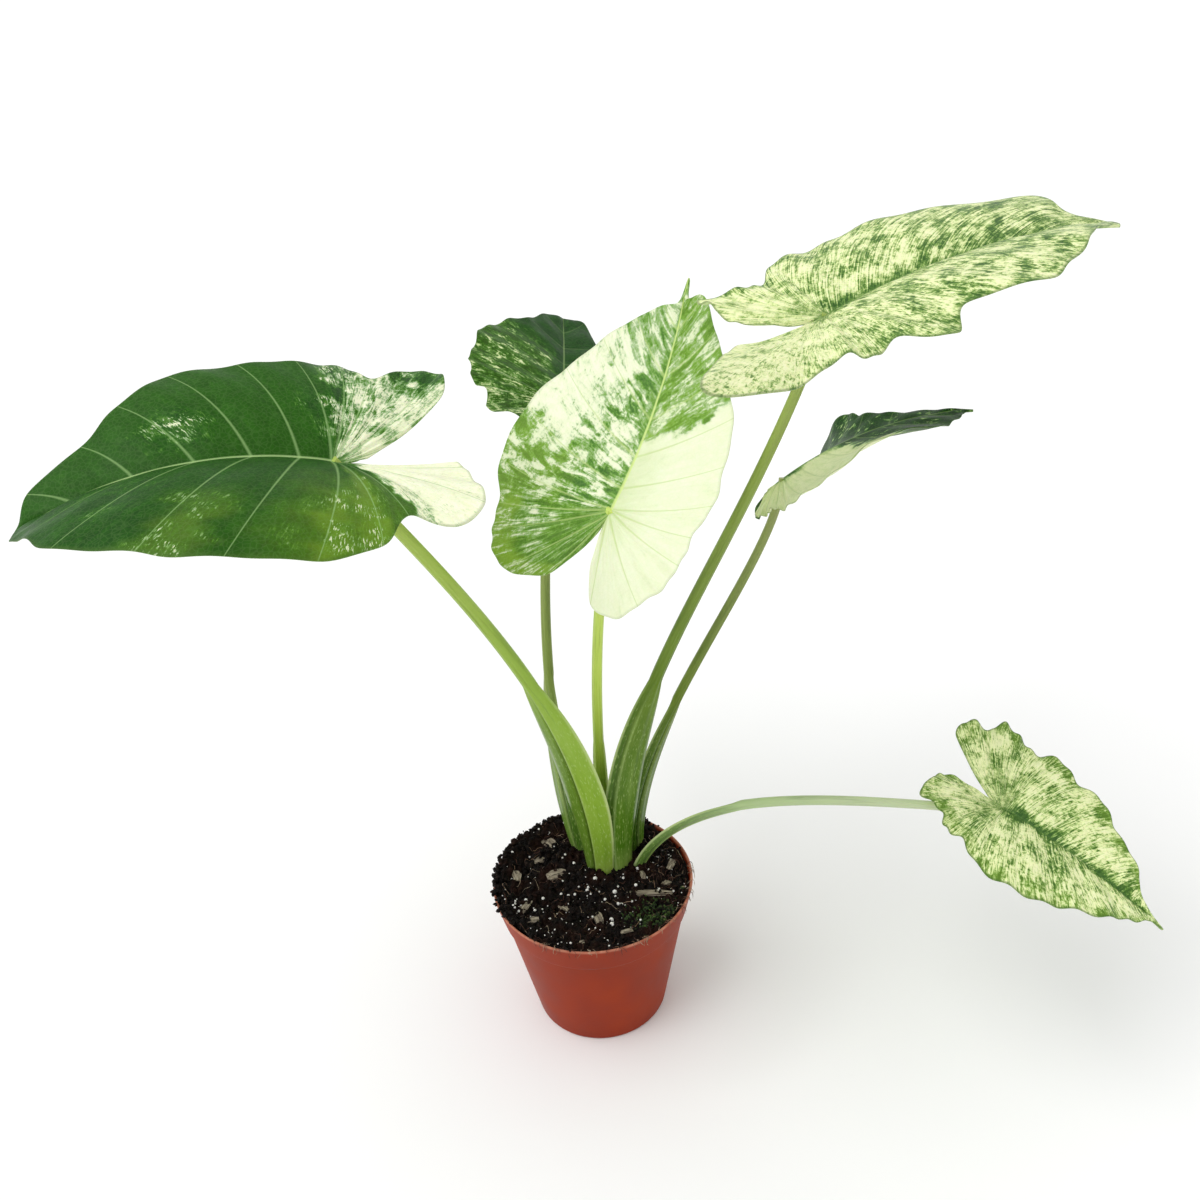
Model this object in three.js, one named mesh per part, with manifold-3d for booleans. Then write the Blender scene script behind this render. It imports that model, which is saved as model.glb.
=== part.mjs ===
// A young giant upright elephant ear (Alocasia odora) with cream and green leaves, in its
// plastic nursery pot. Millimetres, +Z up. The origin is the centre of the pot's underside.
// Looking along +Y shows the plant's front.

import * as THREE from 'three';
import { mergeVertices } from 'three/addons/utils/BufferGeometryUtils.js';
import Module from 'manifold-3d';

const wasm = await Module();
wasm.setup();

// Gap kept between a piece and the neighbour that shapes it.
const GAP = 0.3;

// Pot: a 12 cm nursery pot, with its collar band and the drain holes in its floor.
const POT_RIM_RADIUS = 60;
const POT_BASE_RADIUS = 40;
const POT_HEIGHT = 95.5;
const POT_WALL = 1.6;
const POT_FLOOR = 2.2;
const POT_BAND_DEPTH = 17.5;
const POT_BAND_LOWER_RADIUS = 56;
const POT_BAND_STEP = 1.2;
const POT_SIDES = 60;
const DRAIN_HOLES = 4;
const DRAIN_RADIUS = 4.5;
const DRAIN_CIRCLE_RADIUS = 25;

// Potting mix: nearly level with the rim and a little higher round the plant.
const MIX_EDGE_HEIGHT = 91.5;
const MIX_RISE = 3;
const MIX_LUMP = 1.1;
const MIX_RINGS = 10;
const MIX_SPOKES = 36;
const PERLITE_GRAINS = 34;
const PERLITE_RADIUS = 1.5;
const BARK_CHIPS = 7;
const BARK_LENGTH = 9;
const STICK_LENGTH = 27;
const STICK_PLACE = { x: 32, y: -16, turn: -4 };

// Buried stem: a short fleshy stump, on which the leaf stalks stand.
const STEM_CENTRE = { x: 11, y: 20 };
const STEM_FOOT_HEIGHT = 50;
const STEM_TOP_HEIGHT = 80;
const STEM_RADIUS = 22;

// Leaf stalks: a fleshy sheath, open towards the plant's centre, that closes to a round stalk.
const STALK_SECTIONS = 15;
const STALK_OUTER_POINTS = 8;
const STALK_INNER_POINTS = 5;

// Leaf blades: the same bearings from the tip, seen from the stalk's junction, serve every
// outline. Each is where one side vein ends, from the tip round to the notch at the back.
const VEIN_BEARINGS = [0, 6, 14, 26, 42, 60, 80, 98, 112, 124, 136, 148, 160, 170, 177, 180];
const VEINS_ON_MIDRIB = 6;
const NOTCH_DEPTH = 9;
const ROWS_PER_VEIN = 2;
const BLADE_STEPS = [0, 0.08, 0.32, 0.58, 0.82, 1];
const BLADE_THICKNESS = 0.9;
const MIDRIB_DEPTH = 2.6;
const VEIN_BOW = 0.15;
const QUILT_HEIGHT = 0.8;

// One entry for each leaf. stalk: foot, two handles and junction of its smooth curve, half
// widths of the sheath and radii of the stalk above it. blade: heading from +X, pitch and roll
// in degrees, droop along the midrib, dip of the back lobes, fold of the halves and their arch;
// left and right: reach of the margin at each bearing, in millimetres. The folded leaf at the
// right has a fold at its base and one at its tip, for each half.
const LEAVES = {
  left: {
    green: true,
    stalk: {
      path: [[5, 13, 80], [8, 7, 199], [-41, -17, 293], [-100, -36.6, 394]],
      sheath: 14, outward: 240, shoulder: 0.50, radius: 4.6, topRadius: 3.1,
    },
    blade: {
      heading: 197, pitch: 21, roll: -10.5, droop: 52, dip: -26, fold: 28, arch: 32,
      wave: 1.4, waves: 6, phase: 0.6,
      left: [146, 141, 132, 124, 109, 100, 89, 80, 66, 82, 86, 72, 62, 50, 28],
      right: [146, 133, 109, 97, 89, 75, 68, 79, 64, 82, 87, 67, 24, 14, 9],
    },
  },
  centre: {
    green: false,
    stalk: {
      path: [[10, 25, 80], [8, 25, 173], [9, 9, 259], [25.4, -7, 344.4]],
      sheath: 6, outward: 95, shoulder: 0.38, radius: 3.2, topRadius: 2.7,
    },
    blade: {
      heading: 52, pitch: 35.5, roll: -7, droop: -27, dip: -2, fold: 7, arch: 7,
      wave: 1.0, waves: 5, phase: 1.5,
      left: [124, 110, 105, 99, 96, 96, 86, 72, 69, 67, 63, 54, 44, 20, 10],
      right: [124, 116, 101, 87, 75, 63, 59, 56, 59, 64, 65, 65, 55, 31, 13],
    },
  },
  upper_right: {
    green: false,
    stalk: {
      path: [[17, 12, 80], [12, 10, 222], [84, 4, 291], [131, 2, 432.5]],
      sheath: 12, outward: 300, shoulder: 0.42, radius: 4.1, topRadius: 2.5,
    },
    blade: {
      heading: 27, pitch: 14, roll: -0.5, droop: 24, dip: -28, fold: 23, arch: 45,
      wave: 1.6, waves: 7, phase: 2.4,
      left: [191, 166, 173, 120, 83, 65, 55, 45, 49, 65, 56, 48, 38, 17, 9],
      right: [191, 165, 139, 118, 99, 68, 73, 59, 66, 67, 98, 143, 84, 55, 22],
    },
  },
  back: {
    green: true,
    stalk: {
      path: [[-4, 29, 80], [-23, 34, 163], [-22.5, 101, 265], [3.4, 121.5, 349]],
      sheath: 10.5, outward: 215, shoulder: 0.45, radius: 3.4, topRadius: 2.7,
    },
    blade: {
      heading: 88, pitch: 4.5, roll: 26.5, droop: 5, dip: -5, fold: 10.5, arch: 16,
      wave: 1.4, waves: 7, phase: 0.2,
      left: [139, 130, 106, 93, 80, 67, 60, 58, 54, 55, 64, 51, 46, 26, 10],
      right: [139, 137, 101, 90, 77, 69, 63, 62, 62, 66, 70, 70, 55, 29, 10],
    },
  },
  right: {
    green: true,
    stalk: {
      path: [[28, 27, 80], [16, 35, 166], [114, 40, 274], [120.3, 54, 324.8]],
      sheath: 10, outward: 320, shoulder: 0.42, radius: 3.2, topRadius: 2.3,
    },
    blade: {
      heading: 4, pitch: 35, roll: -30.5, droop: 34, dip: 24, arch: -22.5,
      foldLeft: [-25, 17.5], foldRight: [-30.5, -20], wave: 1.2, waves: 6, phase: 0,
      left: [106, 85, 69, 58, 61, 64, 64, 48, 36, 31, 32, 32, 28, 15, 9],
      right: [106, 100, 96, 93, 77, 62, 50, 38, 31, 28, 28, 28, 25, 14, 9],
    },
  },
  low_right: {
    green: false,
    stalk: {
      path: [[24, 14, 80], [45, 9, 170], [169, -25, 155], [230.5, -35.6, 157.3]],
      sheath: 7, outward: 320, shoulder: 0.40, radius: 3.4, topRadius: 2.3,
    },
    blade: {
      heading: -44, pitch: -12, roll: 3, droop: 17, dip: -21, fold: 23.5, arch: 22.5,
      wave: 1.2, waves: 7, phase: 1.0,
      left: [98, 78, 72, 60, 54, 47, 47, 43, 49, 56, 50, 56, 50, 18, 9],
      right: [98, 87, 81, 74, 66, 62, 53, 46, 47, 45, 54, 48, 41, 32, 13],
    },
  },
};

const COLOURS = {
  pot: { color: 0xa8472c, roughness: 0.5 },
  mix: { color: 0x2b211b, roughness: 0.95 },
  stem: { color: 0xb9b37a, roughness: 0.7 },
  stalk: { color: 0x7da53f, roughness: 0.45 },
  green: { color: 0x3b7a2a, roughness: 0.4 },
  mottled: { color: 0xc9dc92, roughness: 0.4 },
};

const radians = THREE.MathUtils.degToRad;
const { clamp, lerp, smoothstep } = THREE.MathUtils;

// Booleans: a closed geometry becomes a solid, and a solid a geometry.

function toSolid(geometry) {
  const bare = geometry.clone();
  bare.deleteAttribute('normal');
  bare.deleteAttribute('uv');
  const merged = mergeVertices(bare, 1e-4);
  return new wasm.Manifold(new wasm.Mesh({
    numProp: 3,
    vertProperties: new Float32Array(merged.attributes.position.array),
    triVerts: new Uint32Array(merged.index.array),
  }));
}

function toGeometry(solid) {
  const mesh = solid.getMesh();
  const geometry = new THREE.BufferGeometry();
  geometry.setAttribute('position', new THREE.BufferAttribute(mesh.vertProperties, 3));
  geometry.setIndex(new THREE.BufferAttribute(mesh.triVerts, 1));
  return geometry;
}

// A cut can leave loose scraps, which are dropped.
function largestPiece(solid) {
  const pieces = solid.decompose();
  return pieces.reduce((best, piece) => (piece.volume() > best.volume() ? piece : best));
}

// A small repeatable random generator, so that the grains always lie in the same places.
function makeRandom(seed) {
  let state = seed;
  return () => {
    state = (state * 1664525 + 1013904223) % 4294967296;
    return state / 4294967296;
  };
}

// Pot.

function potOuterRadius(height) {
  const bandFoot = POT_HEIGHT - POT_BAND_DEPTH;
  if (height >= bandFoot) {
    return lerp(POT_BAND_LOWER_RADIUS, POT_RIM_RADIUS, (height - bandFoot) / POT_BAND_DEPTH);
  }
  return lerp(POT_BASE_RADIUS, POT_BAND_LOWER_RADIUS - POT_BAND_STEP, height / bandFoot);
}

function potInnerRadius(height) {
  return potOuterRadius(height) - POT_WALL;
}

function makePot() {
  const bandFoot = POT_HEIGHT - POT_BAND_DEPTH;
  const footChamfer = 1.5;
  const lip = POT_WALL / 3;
  const profile = [
    [0, 0],
    [POT_BASE_RADIUS - footChamfer, 0],
    [potOuterRadius(footChamfer), footChamfer],
    [potOuterRadius(bandFoot - 1), bandFoot - 1],
    [POT_BAND_LOWER_RADIUS, bandFoot],
    [POT_RIM_RADIUS, POT_HEIGHT - lip],
    [POT_RIM_RADIUS - lip, POT_HEIGHT],
    [POT_RIM_RADIUS - 2 * lip, POT_HEIGHT],
    [POT_RIM_RADIUS - 3 * lip, POT_HEIGHT - lip],
    [potInnerRadius(bandFoot), bandFoot],
    [potInnerRadius(bandFoot - 1), bandFoot - 1],
    [potInnerRadius(POT_FLOOR), POT_FLOOR],
    [0, POT_FLOOR],
  ];
  const wall = new THREE.LatheGeometry(profile.map(([r, z]) => new THREE.Vector2(r, z)), POT_SIDES);
  wall.rotateX(Math.PI / 2);
  let pot = toSolid(wall);
  for (let i = 0; i < DRAIN_HOLES; i += 1) {
    const angle = ((i + 0.5) / DRAIN_HOLES) * 2 * Math.PI;
    const drill = new THREE.CylinderGeometry(DRAIN_RADIUS, DRAIN_RADIUS, 3 * POT_FLOOR, 12);
    drill.rotateX(Math.PI / 2);
    drill.translate(
      DRAIN_CIRCLE_RADIUS * Math.cos(angle),
      DRAIN_CIRCLE_RADIUS * Math.sin(angle),
      POT_FLOOR / 2,
    );
    pot = pot.subtract(toSolid(drill));
  }
  return pot;
}

// Leaf stalk: sections carried along a smooth curve. Each has an outward half, and an inner
// half that is hollowed in the sheath and bulges out in the round part above it. The margin
// makes a stalk a little fatter, to cut its neighbours with.

function stalkCurve(stalk) {
  return new THREE.CubicBezierCurve3(...stalk.path.map((point) => new THREE.Vector3(...point)));
}

function stalkSection(stalk, t) {
  const along = t / stalk.shoulder;
  const opening = along < 1 ? (1 - along ** 3) ** 0.8 : 0;
  const flare = 0.5 + 0.5 * smoothstep(along, 0, 0.45);
  const radius = lerp(stalk.radius, stalk.topRadius, t);
  return {
    halfWidth: radius + (stalk.sheath - radius) * opening * flare,
    depth: radius * (1 + 0.35 * opening),
    hollow: lerp(-0.95, 0.4, opening ** 0.6),
  };
}

function makeStalk(stalk, margin = 0) {
  const curve = stalkCurve(stalk);
  const outwardAngle = radians(stalk.outward);
  const outward = new THREE.Vector3(Math.cos(outwardAngle), Math.sin(outwardAngle), 0);
  const ring = STALK_OUTER_POINTS + STALK_INNER_POINTS;
  const points = [];
  for (let i = 0; i <= STALK_SECTIONS; i += 1) {
    const t = (i / STALK_SECTIONS) ** 1.15;
    const centre = curve.getPoint(t);
    const tangent = curve.getTangent(t);
    const out = outward.clone().addScaledVector(tangent, -outward.dot(tangent)).normalize();
    const side = new THREE.Vector3().crossVectors(tangent, out);
    const { halfWidth, depth, hollow } = stalkSection(stalk, t);
    if (i === 0 && margin > 0) {
      centre.addScaledVector(tangent, -margin);
    }
    for (let j = 0; j < ring; j += 1) {
      const outer = j < STALK_OUTER_POINTS;
      const angle = outer
        ? (Math.PI * j) / (STALK_OUTER_POINTS - 1)
        : Math.PI * (1 - (j - STALK_OUTER_POINTS + 1) / (STALK_INNER_POINTS + 1));
      const across = (halfWidth + (outer ? margin : 0)) * Math.cos(angle);
      const reach = outer ? depth + 2 * margin : hollow * depth;
      const point = centre.clone()
        .addScaledVector(side, -across)
        .addScaledVector(out, reach * Math.sin(angle) - margin);
      points.push(point);
    }
  }
  return loft(points, ring);
}

// A closed skin over rings of points, with flat ends.
function loft(points, ring) {
  const rings = points.length / ring;
  const positions = points.flatMap((point) => point.toArray());
  const triangles = [];
  for (let i = 0; i < rings - 1; i += 1) {
    for (let j = 0; j < ring; j += 1) {
      const a = i * ring + j;
      const b = i * ring + ((j + 1) % ring);
      triangles.push(a, b, b + ring, a, b + ring, a + ring);
    }
  }
  const outline = points.slice(0, ring);
  const flat = flatten(outline);
  for (const [a, b, c] of THREE.ShapeUtils.triangulateShape(flat, [])) {
    triangles.push(c, b, a);
    const last = (rings - 1) * ring;
    triangles.push(last + a, last + b, last + c);
  }
  const geometry = new THREE.BufferGeometry();
  geometry.setAttribute('position', new THREE.Float32BufferAttribute(positions, 3));
  geometry.setIndex(triangles);
  return orientedSolid(geometry);
}

// The first ring of a loft, laid flat in its own plane.
function flatten(outline) {
  const middle = outline.reduce((sum, point) => sum.add(point), new THREE.Vector3())
    .divideScalar(outline.length);
  const first = outline[0].clone().sub(middle).normalize();
  const normal = outline.reduce((sum, point, i) => {
    const next = outline[(i + 1) % outline.length];
    return sum.add(point.clone().sub(middle).cross(next.clone().sub(middle)));
  }, new THREE.Vector3()).normalize();
  const second = normal.clone().cross(first);
  return outline.map((point) => {
    const offset = point.clone().sub(middle);
    return new THREE.Vector2(offset.dot(first), offset.dot(second));
  });
}

// A skin wound inside out is turned the right way.
function orientedSolid(geometry) {
  const position = geometry.attributes.position;
  const index = geometry.index;
  const [a, b, c] = [new THREE.Vector3(), new THREE.Vector3(), new THREE.Vector3()];
  let volume = 0;
  for (let i = 0; i < index.count; i += 3) {
    a.fromBufferAttribute(position, index.getX(i));
    b.fromBufferAttribute(position, index.getX(i + 1));
    c.fromBufferAttribute(position, index.getX(i + 2));
    volume += a.dot(b.cross(c));
  }
  if (volume < 0) {
    for (let i = 0; i < index.count; i += 3) {
      const first = index.getX(i);
      index.setX(i, index.getX(i + 1));
      index.setX(i + 1, first);
    }
  }
  return toSolid(geometry);
}

// Leaf blade: side veins run from the midrib to the margin. u counts them from the tip, at 0,
// round to the notch, at 1, and s runs along a vein from the midrib to the margin. The flat
// place is then folded, arched and drooped.

function marginCurve(reaches) {
  const points = VEIN_BEARINGS.map((bearing, k) => {
    const reach = k < reaches.length ? reaches[k] : NOTCH_DEPTH;
    return new THREE.Vector2(
      reach * Math.cos(radians(bearing)),
      reach * Math.sin(radians(bearing)),
    );
  });
  return new THREE.SplineCurve(points);
}

function flatPlace(blade, margin, side, u, s) {
  const length = blade.left[0];
  const veins = VEIN_BEARINGS.length - 1;
  const front = clamp((u * veins) / VEINS_ON_MIDRIB, 0, 1);
  const back = clamp((u * veins - VEINS_ON_MIDRIB) / (veins - VEINS_ON_MIDRIB), 0, 1);
  const start = length * (1 - front) ** 1.3 - NOTCH_DEPTH * back ** 1.5;
  const end = margin.getPoint(u);
  const ahead = end.x - start;
  const bow = VEIN_BOW * (1 - back) * s * (1 - s);
  return { a: start + ahead * s - end.y * bow, b: side * (end.y * s + ahead * bow) };
}

// Angle by which one half rises or hangs beside the midrib.
function foldAngle(blade, a, b) {
  const [atBase, atTip] = (b > 0 ? blade.foldLeft : blade.foldRight) ?? [blade.fold, blade.fold];
  return radians(lerp(atBase, atTip, smoothstep(a / blade.left[0], 0.05, 0.55)));
}

function bentPlace(blade, a, b) {
  const length = blade.left[0];
  const droop = a >= 0 ? -radians(blade.droop) / length : -radians(blade.dip) / (0.45 * length);
  const x = Math.sin(droop * a) / droop;
  const z = (1 - Math.cos(droop * a)) / droop;
  const fold = foldAngle(blade, a, b);
  const arch = -radians(blade.arch) / (0.42 * length);
  const width = Math.abs(b);
  const y = (Math.sign(b) * (Math.sin(fold + arch * width) - Math.sin(fold))) / arch;
  const rise = (Math.cos(fold) - Math.cos(fold + arch * width)) / arch;
  return new THREE.Vector3(x - Math.sin(droop * a) * rise, y, z + Math.cos(droop * a) * rise);
}

// The blade's upward normal, from the places a hair's breadth ahead, behind and to each side.
function bentNormal(blade, a, b, side) {
  const step = 0.01;
  const across = Math.abs(b) < 2 * step ? side * 2 * step : b;
  const alongA = bentPlace(blade, a + step, b).sub(bentPlace(blade, a - step, b));
  const alongB = bentPlace(blade, a, across + step).sub(bentPlace(blade, a, across - step));
  return alongA.cross(alongB).normalize();
}

// Height of the upper face over the bent blade: the panels between veins are quilted up and
// the margin is waved.
function relief(blade, side, u, s) {
  const veins = VEIN_BEARINGS.length - 1;
  const panel = Math.sin(Math.PI * u * veins) ** 2 * Math.sin(Math.PI * s) ** 0.7;
  const wave = Math.sin(2 * Math.PI * blade.waves * u + blade.phase + side);
  const ends = Math.sin(Math.PI * u) ** 0.5;
  return QUILT_HEIGHT * panel + blade.wave * wave * ends * s ** 2.5;
}

// The midrib and the side veins stand out below the blade, and fade out behind the junction.
function thickness(blade, u, s) {
  const veins = VEIN_BEARINGS.length - 1;
  const front = clamp((u * veins) / VEINS_ON_MIDRIB, 0, 1);
  const back = clamp((u * veins - VEINS_ON_MIDRIB) / (veins - VEINS_ON_MIDRIB), 0, 1);
  const rib = s === 0 ? MIDRIB_DEPTH * (0.25 + 0.75 * front) * (1 - back) : 0;
  const vein = 0.5 * Math.cos(Math.PI * u * veins) ** 2 * (1 - s) * (1 - back);
  return BLADE_THICKNESS + Math.max(rib, vein);
}

function makeBlade(leaf, margin = 0) {
  const { blade, stalk } = leaf;
  const curves = { 1: marginCurve(blade.left), [-1]: marginCurve(blade.right) };
  const rows = (VEIN_BEARINGS.length - 1) * ROWS_PER_VEIN;
  const steps = BLADE_STEPS.length - 1;
  const columns = 2 * steps + 1;
  const turn = new THREE.Matrix4().makeRotationZ(radians(blade.heading))
    .multiply(new THREE.Matrix4().makeRotationY(-radians(blade.pitch)))
    .multiply(new THREE.Matrix4().makeRotationX(radians(blade.roll)));
  turn.setPosition(...stalk.path[3]);
  const faces = { upper: [], lower: [] };
  for (let i = 0; i <= rows; i += 1) {
    const u = i / rows;
    for (let j = 0; j < columns; j += 1) {
      const s = BLADE_STEPS[Math.abs(j - steps)];
      const side = j < steps ? -1 : 1;
      const pole = i === 0 || i === rows;
      const { a, b } = flatPlace(blade, curves[side], side, u, pole ? 0 : s);
      const middle = bentPlace(blade, a, b);
      const normal = s === 0 || pole
        ? bentNormal(blade, a, 0, 1).add(bentNormal(blade, a, 0, -1)).normalize()
        : bentNormal(blade, a, b, side);
      const high = (pole ? 0 : relief(blade, side, u, s)) + margin;
      const thick = (pole ? BLADE_THICKNESS : thickness(blade, u, s)) + 2 * margin;
      const upper = middle.clone().addScaledVector(normal, high).applyMatrix4(turn);
      const lower = middle.clone().addScaledVector(normal, high - thick).applyMatrix4(turn);
      faces.upper.push(upper);
      faces.lower.push(lower);
    }
  }
  return stitchBlade(faces, rows, columns);
}

// Both faces are split into triangles alike, and the margin joins them. The tip and the notch
// are single points on each face, so their rows are merged.
function stitchBlade(faces, rows, columns) {
  const positions = [...faces.upper, ...faces.lower].flatMap((point) => point.toArray());
  const lowerStart = faces.upper.length;
  const number = (i, j) => i * columns + (i === 0 || i === rows ? 0 : j);
  const triangles = [];
  const add = (a, b, c) => {
    if (a !== b && b !== c && c !== a) {
      triangles.push(a, b, c);
    }
  };
  for (let i = 0; i < rows; i += 1) {
    for (let j = 0; j < columns - 1; j += 1) {
      const [a, b] = [number(i, j), number(i, j + 1)];
      const [c, d] = [number(i + 1, j + 1), number(i + 1, j)];
      add(a, b, c);
      add(a, c, d);
      add(lowerStart + c, lowerStart + b, lowerStart + a);
      add(lowerStart + d, lowerStart + c, lowerStart + a);
    }
    for (const [j, flip] of [[0, false], [columns - 1, true]]) {
      const [a, b] = [number(i, j), number(i + 1, j)];
      const [c, d] = [b + lowerStart, a + lowerStart];
      if (flip) {
        add(b, a, d);
        add(b, d, c);
      } else {
        add(a, b, c);
        add(a, c, d);
      }
    }
  }
  const geometry = new THREE.BufferGeometry();
  geometry.setAttribute('position', new THREE.Float32BufferAttribute(positions, 3));
  geometry.setIndex(triangles);
  return orientedSolid(geometry);
}

// Potting mix: a lumpy top on a plug that fills the pot.

function mixHeight(x, y) {
  const edge = potInnerRadius(MIX_EDGE_HEIGHT);
  const r = Math.hypot(x - STEM_CENTRE.x, y - STEM_CENTRE.y);
  const rise = MIX_RISE * (1 - smoothstep(r, 10, edge));
  const lumps = Math.sin(x * 0.31 + 1.7) * Math.sin(y * 0.37 + 0.4)
    + 0.6 * Math.sin(x * 0.83 - y * 0.52) + 0.5 * Math.sin(x * 0.47 + y * 0.91 + 2.2);
  const settled = 1 - smoothstep(Math.hypot(x, y), edge - 6, edge);
  return MIX_EDGE_HEIGHT + rise + MIX_LUMP * lumps * settled;
}

function makeMixBody() {
  const positions = [];
  const triangles = [];
  const edge = potInnerRadius(MIX_EDGE_HEIGHT) - GAP;
  const bandFoot = POT_HEIGHT - POT_BAND_DEPTH;
  const foot = POT_FLOOR + GAP;
  positions.push(0, 0, mixHeight(0, 0));
  for (let i = 1; i <= MIX_RINGS; i += 1) {
    const r = edge * (i / MIX_RINGS) ** 0.8;
    for (let j = 0; j < MIX_SPOKES; j += 1) {
      const angle = (j / MIX_SPOKES) * 2 * Math.PI;
      const [x, y] = [r * Math.cos(angle), r * Math.sin(angle)];
      positions.push(x, y, mixHeight(x, y));
    }
  }
  const wallHeights = [bandFoot, bandFoot - 1, foot];
  for (const height of wallHeights) {
    const r = (potInnerRadius(height) - GAP) * Math.cos(Math.PI / POT_SIDES);
    for (let j = 0; j < MIX_SPOKES; j += 1) {
      const angle = (j / MIX_SPOKES) * 2 * Math.PI;
      positions.push(r * Math.cos(angle), r * Math.sin(angle), height);
    }
  }
  const last = positions.length / 3;
  positions.push(0, 0, foot);
  const rings = MIX_RINGS + wallHeights.length;
  for (let j = 0; j < MIX_SPOKES; j += 1) {
    const k = (j + 1) % MIX_SPOKES;
    triangles.push(0, 1 + j, 1 + k);
    for (let i = 0; i < rings - 1; i += 1) {
      const [a, b] = [1 + i * MIX_SPOKES + j, 1 + i * MIX_SPOKES + k];
      triangles.push(a, a + MIX_SPOKES, b + MIX_SPOKES, a, b + MIX_SPOKES, b);
    }
    const rim = 1 + (rings - 1) * MIX_SPOKES;
    triangles.push(rim + j, last, rim + k);
  }
  const geometry = new THREE.BufferGeometry();
  geometry.setAttribute('position', new THREE.Float32BufferAttribute(positions, 3));
  geometry.setIndex(triangles);
  return orientedSolid(geometry);
}

// Perlite grains, bark chips and the flat stick, each sunk about half way into the mix and
// kept off the plant.
function makeScatter() {
  const random = makeRandom(7);
  const place = (clear) => {
    for (;;) {
      const r = (potInnerRadius(MIX_EDGE_HEIGHT) - 5) * Math.sqrt(random());
      const angle = 2 * Math.PI * random();
      const [x, y] = [r * Math.cos(angle), r * Math.sin(angle)];
      if (Math.hypot(x - STEM_CENTRE.x, y - STEM_CENTRE.y) > clear) {
        return [x, y, mixHeight(x, y)];
      }
    }
  };
  const solids = [];
  for (let i = 0; i < PERLITE_GRAINS; i += 1) {
    const size = PERLITE_RADIUS * (0.7 + 0.6 * random());
    const grain = new THREE.OctahedronGeometry(size);
    grain.rotateX(random());
    grain.rotateY(random());
    const [x, y, z] = place(23);
    grain.translate(x, y, z + 0.2 * size);
    solids.push(toSolid(grain));
  }
  for (let i = 0; i < BARK_CHIPS; i += 1) {
    const chip = new THREE.BoxGeometry(BARK_LENGTH * (0.6 + 0.6 * random()), 4, 1.6);
    chip.rotateX(0.4 * (random() - 0.5));
    chip.rotateY(0.4 * (random() - 0.5));
    chip.rotateZ(2 * Math.PI * random());
    const [x, y, z] = place(27);
    chip.translate(x, y, z + 0.2);
    solids.push(toSolid(chip));
  }
  const stick = new THREE.BoxGeometry(STICK_LENGTH, 3.2, 1.8);
  stick.rotateZ(radians(STICK_PLACE.turn));
  stick.translate(STICK_PLACE.x, STICK_PLACE.y, mixHeight(STICK_PLACE.x, STICK_PLACE.y) + 0.6);
  solids.push(toSolid(stick));
  return solids;
}

// The grains and chips stay clear of the pot's wall.
function makeMix() {
  const room = new THREE.CylinderGeometry(
    potInnerRadius(POT_HEIGHT) - 2 * GAP - 1,
    potInnerRadius(MIX_EDGE_HEIGHT - 10) - 2 * GAP - 1,
    14,
    POT_SIDES,
  );
  room.rotateX(Math.PI / 2);
  room.translate(0, 0, MIX_EDGE_HEIGHT);
  const space = toSolid(room);
  return makeScatter().reduce((mix, solid) => mix.add(solid.intersect(space)), makeMixBody());
}

function makeStemBase(margin = 0) {
  const r = STEM_RADIUS + margin;
  const top = STEM_TOP_HEIGHT - GAP + margin;
  const foot = STEM_FOOT_HEIGHT - margin;
  const profile = [[0, foot], [0.45 * r, foot], [0.8 * r, lerp(foot, top, 0.35)],
    [r, lerp(foot, top, 0.75)], [r, top], [0, top]];
  const geometry = new THREE.LatheGeometry(
    profile.map(([radius, z]) => new THREE.Vector2(radius, z)),
    24,
  );
  geometry.rotateX(Math.PI / 2);
  geometry.translate(STEM_CENTRE.x, STEM_CENTRE.y, 0);
  return toSolid(geometry);
}

// Assembly. The front sheaths keep their whole form, and each one behind is cut clear of those
// before it, as sheaths press on each other. A blade trims the stalk's end flush with its
// underside, and the mix has a plain hole for each stalk and for the buried stem.

const object = new THREE.Group();

function addNode(name, solid, finish) {
  const material = new THREE.MeshStandardMaterial({ ...finish, metalness: 0 });
  const mesh = new THREE.Mesh(toGeometry(solid), material);
  mesh.name = name;
  object.add(mesh);
}

const STALK_ORDER = ['left', 'upper_right', 'low_right', 'right', 'back', 'centre'];
const blades = {};
const stalks = {};
const stalkRoom = {};
for (const name of STALK_ORDER) {
  blades[name] = makeBlade(LEAVES[name]);
  let stalk = makeStalk(LEAVES[name].stalk)
    .subtract(makeBlade(LEAVES[name], GAP).add(blades[name]))
    .subtract(makeStemBase(GAP));
  for (const earlier of Object.values(stalkRoom)) {
    stalk = stalk.subtract(earlier);
  }
  stalks[name] = largestPiece(stalk);
  stalkRoom[name] = makeStalk(LEAVES[name].stalk, GAP);
}

let mix = makeMix().subtract(makeStemBase(GAP));
for (const room of Object.values(stalkRoom)) {
  mix = mix.subtract(room);
}

addNode('pot', makePot(), COLOURS.pot);
addNode('potting_mix', largestPiece(mix), COLOURS.mix);
addNode('stem_base', makeStemBase(), COLOURS.stem);
for (const name of STALK_ORDER) {
  addNode(`stalk_${name}`, stalks[name], COLOURS.stalk);
  addNode(`leaf_${name}`, blades[name], LEAVES[name].green ? COLOURS.green : COLOURS.mottled);
}

export default object;
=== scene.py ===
"""A young giant upright elephant ear (Alocasia odora) with cream and green leaves, in its
plastic nursery pot. Shapes are worked out in millimetres and put into meshes in metres."""

import math

import bpy
import numpy as np
from mathutils import Matrix


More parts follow.
